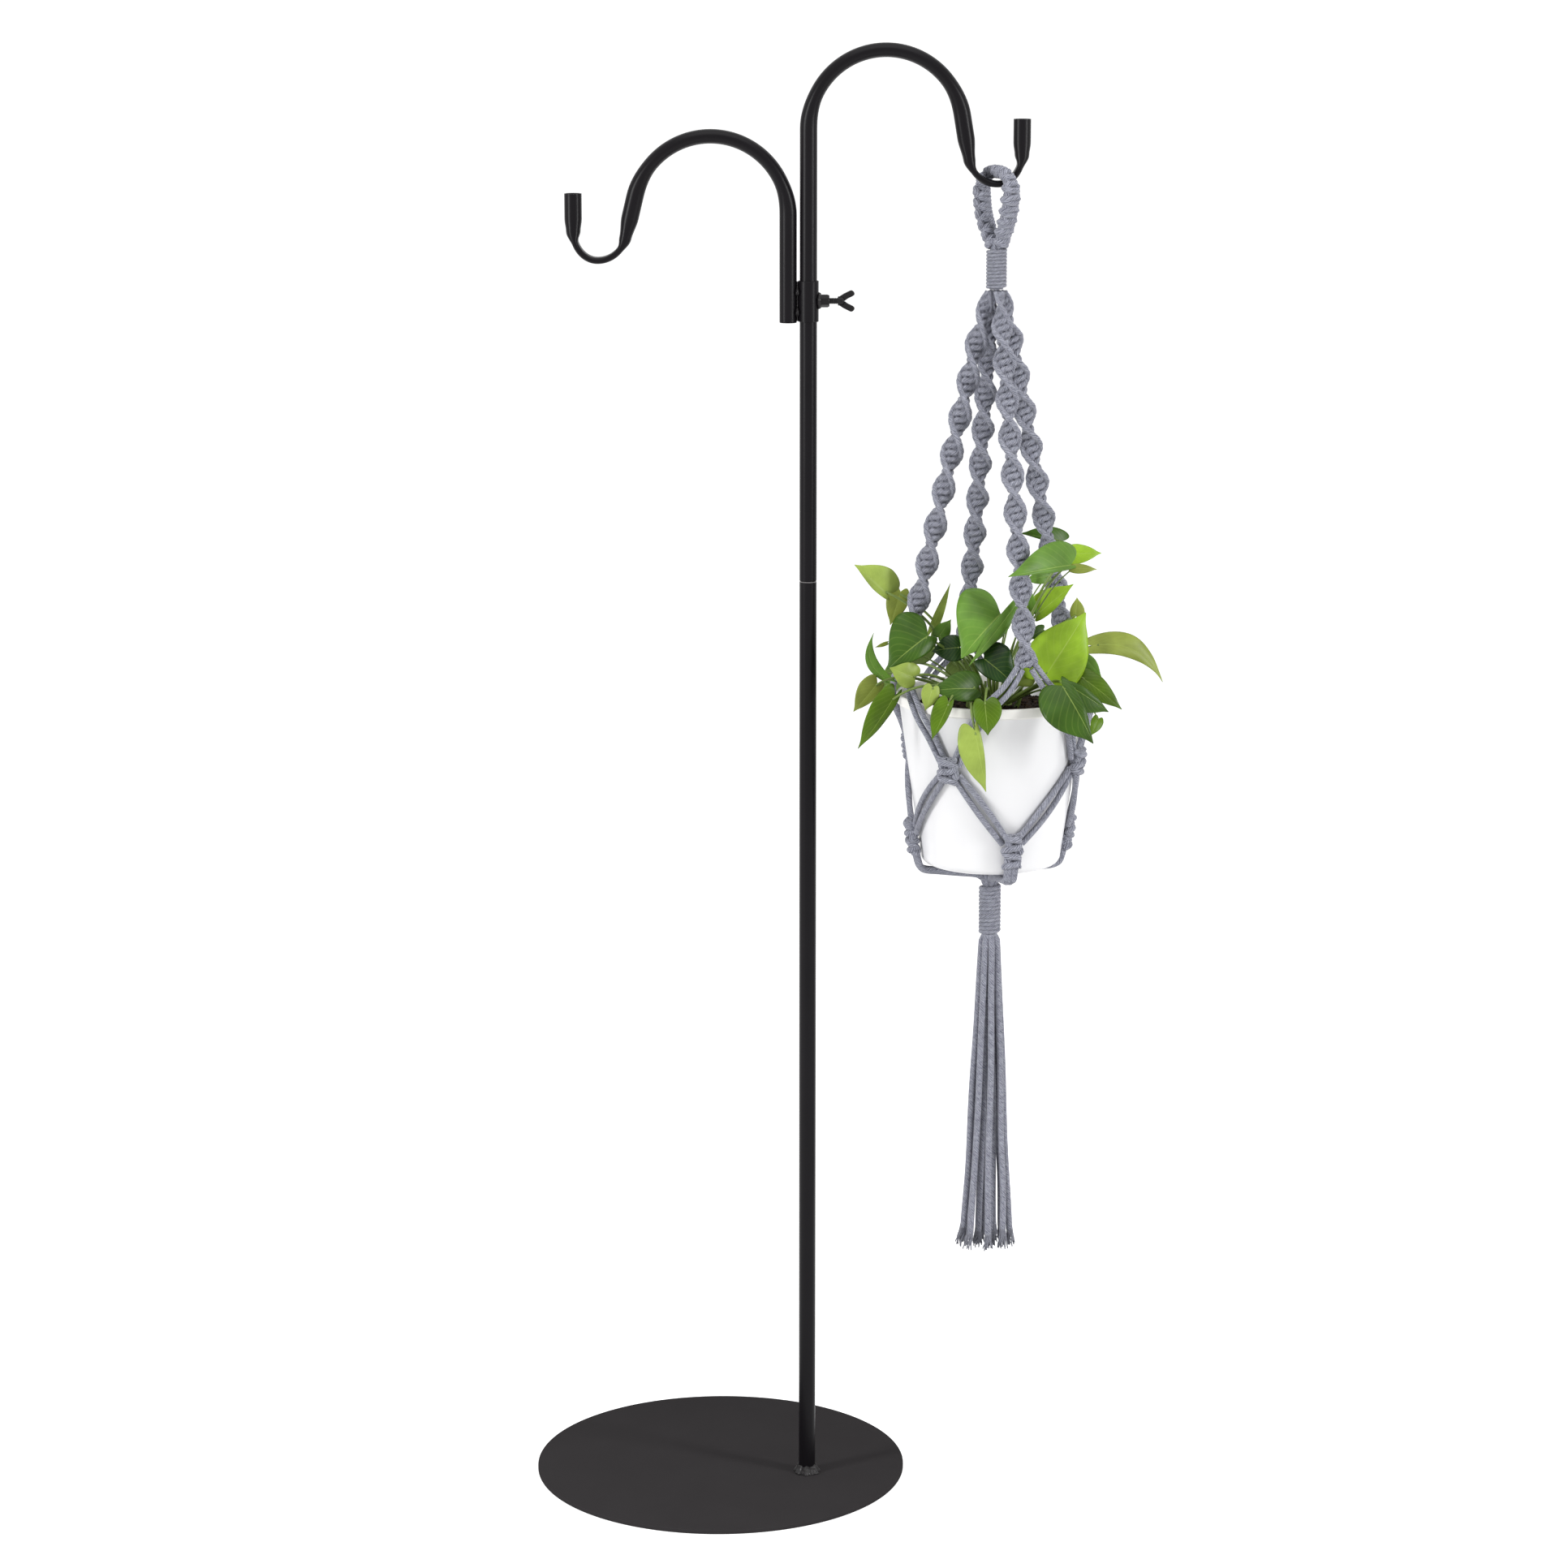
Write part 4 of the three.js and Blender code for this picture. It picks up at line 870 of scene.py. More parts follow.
@dataclass
class SideArm:
    """Side hook with its sleeve round the pole, their welds, and the nut for the clamping bolt."""

    sleeve_outer: float = 9.5
    sleeve_bottom: float = 1130.0
    sleeve_top: float = 1167.6
    bore: float = 8.3
    chamfer: float = 0.35
    weld_heights: tuple[float, float] = (1157.5, 1139.0)
    weld_x: float = -10.1
    nut_weld: tuple[tuple[float, float], ...] = (
        (8.6, 6.6), (9.4, 7.6), (10.2, 7.5), (11.2, 6.9), (11.9, 6.2))
    bolt_z: float = 1149.0

    def build(self, shop: Workshop) -> None:
        """Makes the arm, the sleeve and the welds."""
        shop.steel("side_hook_tube", "side_arm", "side_arm_hook", [SIDE_HOOK.tube()])
        low, high, outer, c = self.sleeve_bottom, self.sleeve_top, self.sleeve_outer, self.chamfer
        profile = [(self.bore, low), (outer - c, low), (outer, low + c), (outer, high - c), (outer - c, high),
                   (self.bore, high)]
        shop.steel("clamp_sleeve", "side_arm", "clamp_collar", [turned(profile, 64, closed=True)])
        upper, lower = self.weld_heights
        for name, shapes in (("upper", [self.bead(upper), self.seam()]), ("lower", [self.bead(lower)])):
            shop.steel(f"arm_weld_bead_{name}", "side_arm", f"arm_weld_{name}", shapes, shop.weld, 80)
        shop.steel("nut_weld_bead", "side_arm", "nut_weld", [self.nut_bead()], shop.weld, 80)

    def bead(self, height: float) -> Shape:
        """A short lumpy weld in the groove between the sleeve and the arm, on both sides of it."""
        u, angle = np.linspace(0.02, math.pi - 0.02, 24)[:, None], circle(28)
        lump = 1 + 0.1 * np.sin(3 * angle + height) + 0.06 * np.sin(7 * angle + 2 * u)
        across = np.copysign(np.abs(np.cos(angle)) ** 0.8, np.cos(angle))
        reach = 1.6 + 1.5 * np.cos(u) ** 2
        return loft(xyz(self.weld_x + reach * np.sin(u) * np.sin(angle) * lump, -7.4 * np.cos(u) * lump**0.3,
                        height + 5 * np.sin(u) * across * lump))

    def seam(self) -> Shape:
        """The thin ragged weld that fills the groove from end to end."""
        z, angle = np.linspace(self.sleeve_bottom + 0.8, self.sleeve_top - 0.8, 60)[:, None], circle(20)
        rag = 0.35 * np.sin(1.9 * z) + 0.25 * np.sin(4.3 * z + 1)
        across, deep = 1.25 + 0.3 * rag, 4.6 + 0.9 * rag
        return loft(xyz(self.weld_x + across * np.cos(angle), deep * np.sin(angle), z))

    def nut_bead(self) -> Shape:
        """The weld spot where the nut sits on the sleeve."""
        (x, radius), angle = np.array(self.nut_weld).T[..., None], circle(40)
        reach = radius * (1 + 0.05 * np.sin(5 * angle) + 0.03 * np.sin(9 * angle + 1))
        return loft(xyz(x, reach * np.cos(angle), self.bolt_z + reach * np.sin(angle)))


@dataclass
class WingBolt:
    """Threaded bolt with two forged wings."""

    z: float = 1149.0
    radius: float = 3.0
    tip_x: float = 8.3
    thread_from: float = 19.0
    thread_to: float = 27.4
    thread_hidden: float = 6.0
    pitch: float = 1.6
    boss_radius: float = 4.3
    boss_end: float = 33.0
    thick: float = 5.0
    outline: tuple[tuple[float, float], ...] = (
        (29.2, 0.2), (27.9, 3.6), (32.5, 6.6), (38.6, 9.6), (40.2, 9.75), (41.8, 8.6), (42.7, 7.0),
        (42.3, 5.6), (40.6, 4.4), (36.4, 2.4), (33.4, 0.2))

    def build(self, shop: Workshop) -> None:
        """Makes the shank, the thread, the boss and the wings as one piece."""
        core, boss_from, tip = self.radius - 0.45, self.thread_to + 0.5, self.tip_x
        shank = [(0, tip), (core - 0.6, tip), (core, tip + 0.6), (core, boss_from), (0, boss_from)]
        boss = [(0, self.thread_to - 0.3), *arc(self.boss_radius - 0.8, boss_from, 0.8, -90, 0, 5),
                *arc(self.boss_radius - 1.6, self.boss_end - 1.6, 1.6, 0, 90, 6), (0, self.boss_end)]
        shapes = [along_x(turned(shank, 32), self.z), along_x(turned(boss, 40), self.z)]
        body = make_piece("bolt_body", shapes, shop.zinc, POLE_AT, 35)
        length = self.thread_to - self.thread_from + self.thread_hidden
        thread = shop.winding.grow(blank("bolt_thread"), shop.zinc, Turns=length / self.pitch,
                                   Height=length * MM, Path_radius=(core - 0.05) * MM, Cord_radius=0.5 * MM,
                                   Steps=28, Sides=4)
        start = Vector((POLE_AT[0] + self.thread_from - self.thread_hidden, POLE_AT[1], self.z)) * MM
        thread.data.transform(Matrix.Translation(start) @ Matrix.Rotation(math.radians(90), 4, "Y"))
        bolt = blank("wing_bolt_dressed")
        bolt.data.materials.append(shop.zinc)
        work = bmesh.new()
        for part in (body, thread, self.wing(1, shop), self.wing(-1, shop)):
            work.from_mesh(part.data)
            bpy.data.objects.remove(part)
        work.to_mesh(bolt.data)
        work.free()
        mount(bolt, "wing_bolt", "black_zinc", "wing_bolt")

    def wing(self, side: int, shop: Workshop) -> bpy.types.Object:
        """One wing: a tapered blade with a rounded end and a sunk face."""
        count, half = len(self.outline), self.thick / 2
        points = np.array([(x, y, self.z + side * z) for y in (-half, half) for x, z in self.outline])
        faces: Faces = [tuple(range(count)), tuple(range(count, 2 * count))]
        faces += [(i, (i + 1) % count, count + (i + 1) % count, count + i) for i in range(count)]
        made = make_piece("wing", [(points, faces)], shop.zinc, POLE_AT, 35)
        work = bmesh.new()
        work.from_mesh(made.data)
        broad = [f for f in work.faces if abs(f.normal.y) > 0.9]
        bmesh.ops.inset_individual(work, faces=broad, thickness=1.0 * MM, depth=-0.55 * MM)
        work.to_mesh(made.data)
        work.free()
        bevel = made.modifiers.new("edges", "BEVEL")
        bevel.width, bevel.segments, bevel.limit_method = 0.45 * MM, 3, "ANGLE"
        return settle(made)


# ------------------------------------------------------------------ pot and soil
@dataclass
class Pot:
    """Tapered plastic pot with a rolled rim band, filled with soil."""

    top: float = 782.0
    bottom: float = 619.0
    rim_radius: float = 90.0
    band: float = 9.0
    band_step: float = 1.3
    foot_radius: float = 65.0
    foot_ring: float = 14.5
    foot_rise: float = 1.5
    rim_round: float = 1.7
    band_round: float = 0.9
    band_gap: float = 1.2
    corner: float = 8.0
    wall: float = 2.4
    soil_top: float = 766.0
    dome: float = 3.0

    def wall_radius(self, z: Numbers) -> Numbers:
        """Outer radius of the tapered wall at a height."""
        share = (z - self.bottom) / (self.top - self.bottom)
        return mix(self.foot_radius, self.rim_radius - self.band_step, share)

    def build(self, shop: Workshop) -> None:
        """Makes the pot and the soil."""
        vessel = make_piece("plastic_pot", [turned(self.profile(), 160)], shop.plastic, POT_AT, 50)
        mount(vessel, "planter", "pot_plastic", "pot")
        heap = make_piece("soil_heap", [self.heap()], shop.earth, POT_AT, 60)
        shop.crumbs.grow(heap, shop.earth, Density=26000.0, Smallest=0.8 * MM, Largest=2.4 * MM, Seed=4)
        self.keep_inside(heap)
        mount(heap, "planter", "potting_soil", "soil")

    def profile(self) -> list[tuple[float, float]]:
        """Half section of the pot, from the middle of its underside over the rim to its floor."""
        low, rise, rim, bend = self.bottom, self.foot_rise, self.rim_radius, self.bottom + self.corner
        ring, band_z, floor = self.foot_radius - self.foot_ring, self.top - self.band, low + self.wall + rise
        gap_z, curl, lip = band_z - self.band_gap, self.band_round, self.rim_round
        return [(0.0, low + rise), (ring - rise, low + rise), (ring, low),
                *arc(self.wall_radius(bend) - self.corner, bend, self.corner, -90, 0, 9),
                (self.wall_radius(gap_z), gap_z), *arc(rim - curl, band_z + curl, curl, -90, 0, 5),
                *arc(rim - lip, self.top - lip, lip, 0, 180, 13),
                (self.wall_radius(band_z) - self.wall, band_z), (self.wall_radius(bend) - self.wall, bend),
                (self.wall_radius(low) - self.corner, floor), (0.0, floor)]

    def heap(self) -> Shape:
        """The soil: a low dome with hollows and lumps, over a plain plug that fills the pot."""
        reach, low = self.wall_radius(self.soil_top) - self.wall - 0.7, self.bottom + self.wall + 2.0
        angle, share, plug = circle(96), np.linspace(1, 0.012, 30)[:, None], np.array([[1e-3], [50]])
        lift = self.dome * (1 - share**2) - 1.2 * share**6
        x, y = reach * share * np.cos(angle), reach * share * np.sin(angle)
        lumps = 0.9 * np.sin(0.21 * x + 1.3) * np.sin(0.17 * y) + 0.5 * np.sin(0.53 * x + 0.31 * y)
        skin = xyz(x, y, self.soil_top + lift + lumps * np.minimum(1, 3 * (1 - share)) - 0.6)
        return loft(np.concatenate([xyz(plug * np.cos(angle), plug * np.sin(angle), low), skin]))

    def keep_inside(self, heap: bpy.types.Object) -> None:
        """Pulls crumbs that reach into the pot's wall back to the soil's edge."""
        mesh = heap.data
        points = np.zeros(len(mesh.vertices) * 3, np.float32)
        mesh.vertices.foreach_get("co", points)
        points = points.reshape(-1, 3) / MM - np.asarray(POT_AT)
        radius = np.maximum(np.hypot(points[:, 0], points[:, 1]), 1e-6)
        limit = self.wall_radius(points[:, 2]) - self.wall - 0.4
        points[:, :2] *= np.minimum(1, limit / radius)[:, None]
        points = (points + np.asarray(POT_AT)) * MM
        mesh.vertices.foreach_set("co", points.astype(np.float32).ravel())
        mesh.update()


# ------------------------------------------------------------------ knotted cord hanger
class Side(Enum):
    """The four sides that a sennit hangs on: name, azimuth of the sennit, azimuth of the lower knot."""

    FRONT = ("front", 19.0, 13.0)
    RIGHT = ("right", 120.0, 103.0)
    BACK = ("back", 194.0, 193.0)
    LEFT = ("left", -76.0, -80.0)

    def __init__(self, label: str, sennit_azimuth: float, knot_azimuth: float) -> None:
        """Names the parts of the value."""
        self.label, self.sennit_azimuth, self.knot_azimuth = label, sennit_azimuth, knot_azimuth


class Corner(Enum):
    """The four upper knots of the net, between two sides each: name and azimuth."""

    FRONT_LEFT = ("front_left", -30.0)
    FRONT_RIGHT = ("front_right", 65.0)
    BACK_RIGHT = ("back_right", 155.0)
    BACK_LEFT = ("back_left", 240.0)

    def __init__(self, label: str, azimuth: float) -> None:
        """Names the parts of the value."""
        self.label, self.azimuth = label, azimuth


def square_sinnet(line: np.ndarray, facing: np.ndarray, pitch: float, half: np.ndarray, radius: float,
                  filler: float) -> list[Line]:
    """Cords of a flat square-knot sinnet along a line.

    One cord crosses the front and the other the back in every half knot, and they swap sides at the edges.

    Args:
        line: Middle line, densely and evenly spaced.
        facing: Rough front direction at each point.
        pitch: Drop of one half knot.
        half: Half width and half depth of the sinnet at each point of the line.
        radius: Radius of the working cords.
        filler: Radius of the two straight cords inside.

    Returns:
        The cords as points and radii.
    """
    travel = distance_along(line)
    across, out = frames(line, facing)
    knots = max(1, round(travel[-1] / pitch))
    count = np.linspace(0, knots, 14 * knots + 1)
    where = (count + 0.8 * np.sin(2 * np.pi * count) / (2 * np.pi)) / knots * travel[-1]

    centre, wide, front, size = (read(values, travel, where) for values in (line, across, out, half))
    swing = np.cos(np.pi * count)
    ears = 1 + 0.14 * swing
    wrap = 1 - 1.45 * np.abs(swing) ** 6
    cords = []
    for sign, bulge in ((1, 1.0), (-1, 0.9)):
        x = sign * swing * ears * (size[:, 0] * bulge - radius)
        y = sign * wrap * (size[:, 1] - radius * 0.8)
        cords.append((centre + wide * x[:, None] + front * y[:, None], radius))
    inner = resample(line, 4 * knots + 2)
    wide, _ = frames(inner, read(facing, travel, distance_along(inner)))
    return cords + [(inner + wide * sign * filler, filler) for sign in (-1, 1)]


@dataclass
class Loop:
    """The corded loop over the hook's bar, and the stem of straight cords below it."""

    points: tuple[tuple[float, float, float], ...] = (
        (-4.2, 2.4, 1198.4), (-4.9, 3, 1204), (-6.6, 6, 1211), (-9, 10, 1219), (-11.6, 15.5, 1230),
        (-12.8, 19, 1243), (-12.6, 20.4, 1253), (-8.4, 15.8, 1263.8), (-3.6, 7.4, 1266.9), (0, 0, 1267.3),
        (3.6, -7.4, 1266.9), (8.4, -15.8, 1263.8), (11.7, -20.4, 1253), (11.4, -19, 1243), (10, -15.5, 1230),
        (8, -10, 1219), (6, -6, 1211), (4.9, -3, 1204), (4.2, -2.4, 1198.4))
    middle_z: float = 1232.0
    half_width: float = 10.0
    arch_half_width: float = 5.8
    neck: float = 0.78
    half_depth: float = 5.6
    cord_radius: float = 2.9
    filler: float = 2.4
    pitch: float = 5.5
    stem_radius: float = 6.4
    stem_cord: float = 2.6
    stem_from: float = 1159.9
    stem_to: float = 1207.0

    def build(self, shop: Workshop) -> None:
        """Makes the two limbs, the arch and the stem as one piece."""
        line = spline(self.points, 220)
        t = np.linspace(0, 1, len(line))
        limb = smooth((np.abs(t - 0.5) - 0.06) / 0.16)
        neck = mix(self.neck, 1, smooth(np.minimum(t, 1 - t) / 0.12))
        wide = mix(self.arch_half_width, self.half_width * neck, limb)
        half = np.stack([wide, np.full(len(t), self.half_depth)], axis=-1)
        facing = line - np.array([0, 0, self.middle_z])
        cords = square_sinnet(line, facing, self.pitch, half, self.cord_radius, self.filler)
        height = np.linspace(self.stem_from, self.stem_to, 14)
        for angle in np.linspace(0, 360, 8, endpoint=False):
            twist = angle + 0.7 * (height - 1160)
            cords.append((around(twist, self.stem_radius - self.stem_cord, height), self.stem_cord))
        shop.tie("corded_loop", "hanging_loop", cords)


@dataclass
class Winding:
    """A cord wound tightly round the bundled cords."""

    name: str
    node: str
    top: float
    bottom: float
    turns: int
    cord_radius: float
    stem_radius: float = 6.4
    gap: float = 0.1

    def build(self, shop: Workshop) -> None:
        """Makes the winding."""
        height = self.top - self.bottom - 2 * self.cord_radius
        made = shop.winding.grow(blank(self.name), shop.cotton, Turns=float(self.turns), Height=height * MM,
                                 Path_radius=(self.stem_radius + self.gap + self.cord_radius) * MM,
                                 Cord_radius=self.cord_radius * MM, Steps=40, Sides=10)
        base = Vector((POT_AT[0], POT_AT[1], self.bottom + self.cord_radius)) * MM
        made.data.transform(Matrix.Translation(base) @ Matrix.Rotation(math.radians(self.turns * 41), 4, "Z"))
        mount(made, "planter", "cotton_cord", self.node)


@dataclass
class Sennits:
    """The four long bands of spiral half knots."""

    top: float = 1158.0
    bottom: float = 820.0
    start_radius: float = 7.6
    end_radius: float = 84.0
    half_width: float = 10.9
    half_depth: float = 5.4
    lobe: float = 34.7
    pitch: float = 6.2
    cord_radius: float = 2.6

    def build(self, shop: Workshop) -> None:
        """Makes one band for each side."""
        for side in Side:
            start = around(side.sennit_azimuth, self.start_radius, self.top)
            end = around(side.sennit_azimuth, self.end_radius, self.bottom)
            length = float(np.linalg.norm(end - start))
            made = shop.sennit.grow(
                blank(f"spiral_sennit_{side.label}"), shop.cotton, Length=length * MM, Pitch=self.pitch * MM,
                Lobe=self.lobe * MM, Half_width=(self.half_width - self.cord_radius) * MM,
                Half_depth=(self.half_depth - self.cord_radius * 0.8) * MM, Cord_radius=self.cord_radius * MM,
                Start_scale=0.45, Grow_length=40 * MM, Edge_drop=0.55, Rung_share=0.66, Edge_wave=0.35 * MM,
                Steps=int(length / self.pitch * 9), Sides=10)
            down = unit(end - start)
            out = around(side.sennit_azimuth, 1.0, 0.0)
            out = unit(out - down * float(out @ down))
            turn = Matrix(np.column_stack([np.cross(down, out), out, -down]).tolist()).to_4x4()
            made.data.transform(Matrix.Translation(Vector((start + np.asarray(POT_AT)) * MM)) @ turn)
            mount(made, "planter", "cotton_cord", f"sennit_{side.label}")


@dataclass
class Net:
    """The net round the pot: cord pairs between the sennits, the upper knots and the lower knots."""

    pot: Pot
    cord_radius: float = 2.75
    spread: float = 4.6
    rim_z: float = 786.0
    clear: float = 0.9
    upper_z: float = 722.0
    lower_z: float = 645.0
    sennit_foot: float = 820.0
    sennit_radius: float = 84.0
    gather_z: float = 606.0
    gather_radius: float = 8.0
    upper_half: tuple[float, float, float] = (11.5, 6.4, 15.0)
    lower_half: tuple[float, float, float] = (10.5, 6.2, 19.0)
    knot_inset: float = 2.6
    knot_pitch: float = 8.2
    knot_cord: float = 3.2
    knot_filler: float = 2.8

    def surface(self, z: Numbers) -> Numbers:
        """Distance from the axis to a cord that lies on the pot at each height."""
        on_band = smooth((z - (self.pot.top - self.pot.band - 7)) / 5)
        return mix(self.pot.wall_radius(z), self.pot.rim_radius, on_band) + self.clear + self.cord_radius

    def build(self, shop: Workshop) -> None:
        """Makes every knot and every pair."""
        for corner in Corner:
            self.knot("upper", corner.label, corner.azimuth, self.upper_z, self.upper_half, shop)
            for side in Side:
                if side.label in corner.label:
                    self.upper_pair(side, corner, shop)
                    self.lower_pair(side, corner, shop)
        for side in Side:
            self.knot("lower", side.label, side.knot_azimuth, self.lower_z, self.lower_half, shop)
            self.under(side, shop)

    def knot(self, level: str, label: str, azimuth: float, z: float, half: tuple[float, float, float],
             shop: Workshop) -> None:
        """One square knot that lies on the pot's wall.

        Args:
            level: Upper or lower.
            label: The knot's corner or side.
            azimuth: Its azimuth.
            z: Its height.
            half: Half of its width, depth and height.
            shop: The finishes and rules.
        """
        half_width, half_depth, half_height = half
        reach = half_height - self.knot_inset
        heights = np.linspace(z + reach, z - reach, 60)
        line = around(azimuth, self.pot.wall_radius(heights) + self.clear + half_depth, heights)
        facing = np.broadcast_to(around(azimuth, 1.0, 0.0), line.shape)
        swell = 0.86 + 0.14 * np.sin(np.pi * np.linspace(0, 1, len(line))) ** 0.5
        sizes = np.stack([half_width * swell, half_depth * swell], axis=-1)
        shop.tie(f"{level}_square_knot_{label}", f"{level}_knot_{label}",
                 square_sinnet(line, facing, self.knot_pitch, sizes, self.knot_cord, self.knot_filler))

    def pair(self, places: np.ndarray, close: float, bulge: float, count: int) -> list[Line]:
        """Two cords side by side, which part between their ends.

        Args:
            places: Azimuth, radius and height of the pair's middle, along it.
            close: Distance of a cord from the middle at the ends, in cord radii.
            bulge: How much it grows half way.
            count: Points along each cord.

        Returns:
            The two cords.
        """
        azimuth, radius, z = spline(places, count).T
        line = around(azimuth, radius, z)
        across, _ = frames(line, around(azimuth, 1.0, 0.0))
        apart = self.cord_radius * (close + bulge * np.sin(np.linspace(0, np.pi, count)))
        return [(line + across * sign * apart[:, None], self.cord_radius) for sign in (-1, 1)]

    def turn(self, start: float, end: float) -> tuple[float, float]:
        """Shortest turn between two azimuths, and how far the pair starts and ends to that side."""
        turn = (end - start + 180) % 360 - 180
        return turn, math.copysign(self.spread, turn)

    def upper_pair(self, side: Side, corner: Corner, shop: Workshop) -> None:
        """From the foot of a sennit over the rim to an upper knot."""
        start, foot = side.sennit_azimuth, self.sennit_foot - 4.5
        turn, lean = self.turn(start, corner.azimuth)
        # Share of the turn, distance from the axis, and height.
        rows = [(0.0, self.sennit_radius + 1.5, foot + 4),
                (0.22, self.sennit_radius + 6, mix(foot, self.rim_z, 0.5)),
                (0.46, self.surface(self.rim_z), self.rim_z), (0.64, self.surface(770.0) + 0.3, 770.0),
                (0.82, self.surface(750.0) + 0.6, 750.0),
                (1.0, self.surface(self.upper_z) + 1, self.upper_z + 6)]
        places = np.array([(mix(start + lean, start + turn - lean, t), r, z) for t, r, z in rows])
        shop.tie(f"upper_pair_{side.label}_to_{corner.label}", f"upper_cords_{side.label}_to_{corner.label}",
                 self.pair(places, 1.02, 0.5, 40))

    def lower_pair(self, side: Side, corner: Corner, shop: Workshop) -> None:
        """From an upper knot to a lower knot, along the wall."""
        start, t = corner.azimuth, np.linspace(0, 1, 5)
        turn, lean = self.turn(start, side.knot_azimuth)
        z = mix(self.upper_z - 6, self.lower_z + 8, t)
        places = xyz(mix(start + lean, start + turn - 1.2 * lean, t), self.surface(z) + 0.6, z)
        shop.tie(f"lower_pair_{corner.label}_to_{side.label}", f"lower_cords_{corner.label}_to_{side.label}",
                 self.pair(places, 1.04, 0.6, 36))

    def under(self, side: Side, shop: Workshop) -> None:
        """Four cords from a lower knot, round the pot's foot and under it to the middle."""
        foot, bottom = self.pot.foot_radius, self.pot.bottom
        low = bottom - self.cord_radius - 1.2
        # Distance from the axis, and height.
        rows = [(foot + 7.4, self.lower_z - 8), (foot + 5.6, bottom + 6), (foot + 0.6, bottom - 4.4),
                (foot - 16, low - 3.4), (28, low - 6), (13, self.gather_z + 1),
                (self.gather_radius - 3, self.gather_z - 4)]
        line = spline([around(side.knot_azimuth, r, z) for r, z in rows], 48)
        across, out = frames(line, line - around(side.knot_azimuth, foot - 30, bottom + 30))
        gather = mix(4.4, 1.9, smooth(np.linspace(0, 1, len(line))))[:, None]
        cords = [(line + across * wide * gather + out * deep, self.cord_radius)
                 for wide, deep in ((-1.0, 0.0), (1.0, 0.0), (-0.4, 1.2), (0.45, 1.08))]
        shop.tie(f"under_cords_bundle_{side.label}", f"under_cords_{side.label}", cords)


@dataclass
class Tassel:
    """The loose cord ends below the lower winding: a bound neck, twelve strands and their frayed ends."""

    top: float = 547.7
    bottom: float = 236.0
    neck: tuple[tuple[float, float], ...] = (
        (609.0, 6.6), (604.0, 6.4), (598.0, 6.2), (594.0, 4.2), (570.0, 3.8), (548.7, 3.8))
    neck_cord: float = 2.4
    spread_x: float = 24.6
    spread_y: float = 18.0
    strand_radius: float = 3.15
    throat: float = 7.2
    yarns_each: int = 15
    outer: int = 8
    inner: int = 4
    fray: float = 20.0
    seed: int = 11

    def build(self, shop: Workshop) -> None:
        """Makes the neck, the strands and the frayed yarns, each strand as a piece of its own."""
        random = np.random.default_rng(self.seed)
        z, reach = np.array(self.neck).T
        turns = np.linspace(0, 360, 9, endpoint=False)
        neck = [(spline(around(turn + 0.9 * (z[0] - z), reach, z), 26), self.neck_cord) for turn in turns]
        strands, yarns = [], []
        for k in range(self.outer + self.inner):
            strands.append(self.strand(k, random))
            yarns += self.yarns(strands[-1], random)
        shop.tie("tassel_neck", "tassel", neck)
        ends = shop.tie("tassel_frayed_ends", "tassel", yarns, 5)
        for k, line in enumerate(strands):
            made = shop.tie(f"tassel_strand_{k + 1}", "tassel", [(line, self.strand_radius)], 12)

    def strand(self, k: int, random: np.random.Generator) -> np.ndarray:
        """The middle line of one strand, from inside the winding to its end."""
        ring = k < self.outer
        angle = 2 * np.pi * (k / self.outer if ring else (k - self.outer + 0.4) / self.inner)
        end = self.bottom + self.fray * 0.8 + random.uniform(0, 6)
        t = np.linspace(0, 1, 44)
        z = mix(self.top, end, t)
        start = mix(4.0, self.throat, smooth((self.top - z) / 6)) if ring else np.full(44, 2.6)
        share = 1.0 if ring else 0.42
        reach_x = mix(start, (self.spread_x - self.strand_radius) * share, t**0.95)
        reach_y = mix(start, (self.spread_y - self.strand_radius) * share, t**0.95)
        sway = 0.8 * np.sin(2 * np.pi * (t * random.uniform(1.2, 2.2) + random.uniform())) * t
        turn = angle + 0.25 * (1 - t)
        return np.stack([reach_x * np.cos(turn) + sway, reach_y * np.sin(turn) + 0.6 * sway, z], axis=-1)

    def yarns(self, line: np.ndarray, random: np.random.Generator) -> list[Line]:
        """The yarns that come loose at the end of a strand."""
        end, found, t = line[-1], [], np.linspace(0, 1, 10)
        x, y = (end[:2] + (end[:2] - line[-8][:2]) * 0.8 * t[:, None]).T
        for i in range(self.yarns_each):
            angle = 2 * np.pi * i / self.yarns_each + random.uniform(-0.2, 0.2)
            reach = mix(self.strand_radius - 0.9, self.strand_radius + random.uniform(-1.4, 2.2), t**1.4)
            z = mix(end[2] + 3, self.bottom + random.uniform(0, 6), t)
            twist = angle - 1.1 * t + 0.25 * np.sin(7 * t + angle)
            found.append((xyz(x + reach * np.cos(twist), y + reach * np.sin(twist), z), mix(0.85, 0.6, t)))
        return found


# ------------------------------------------------------------------ plant
class Tone(Enum):
    """Leaf colours, from young and sunlit to old and shaded."""

    BRIGHT = "#8cb02c"
    FRESH = "#4d6b0b"
    LIGHT = "#90a44b"
    OLIVE = "#84913e"
    MID = "#5f8631"
    DEEP = "#365512"
    SHADE = "#223f17"


@dataclass(frozen=True)
class Leaf:
    """One leaf: where its stalk joins, its tip, both half widths, its colour, and how it leans and bends."""

    base: tuple[float, float, float]
    tip: tuple[float, float, float]
    wide: float
    narrow: float
    tone: Tone
    tilt: float = 0.0
    camber: float = 3.0
    bow: float = 0.0
    turn: float = 0.0
    faces_back: bool = False


BRIGHT, FRESH, LIGHT, OLIVE, MID, DEEP, SHADE = Tone
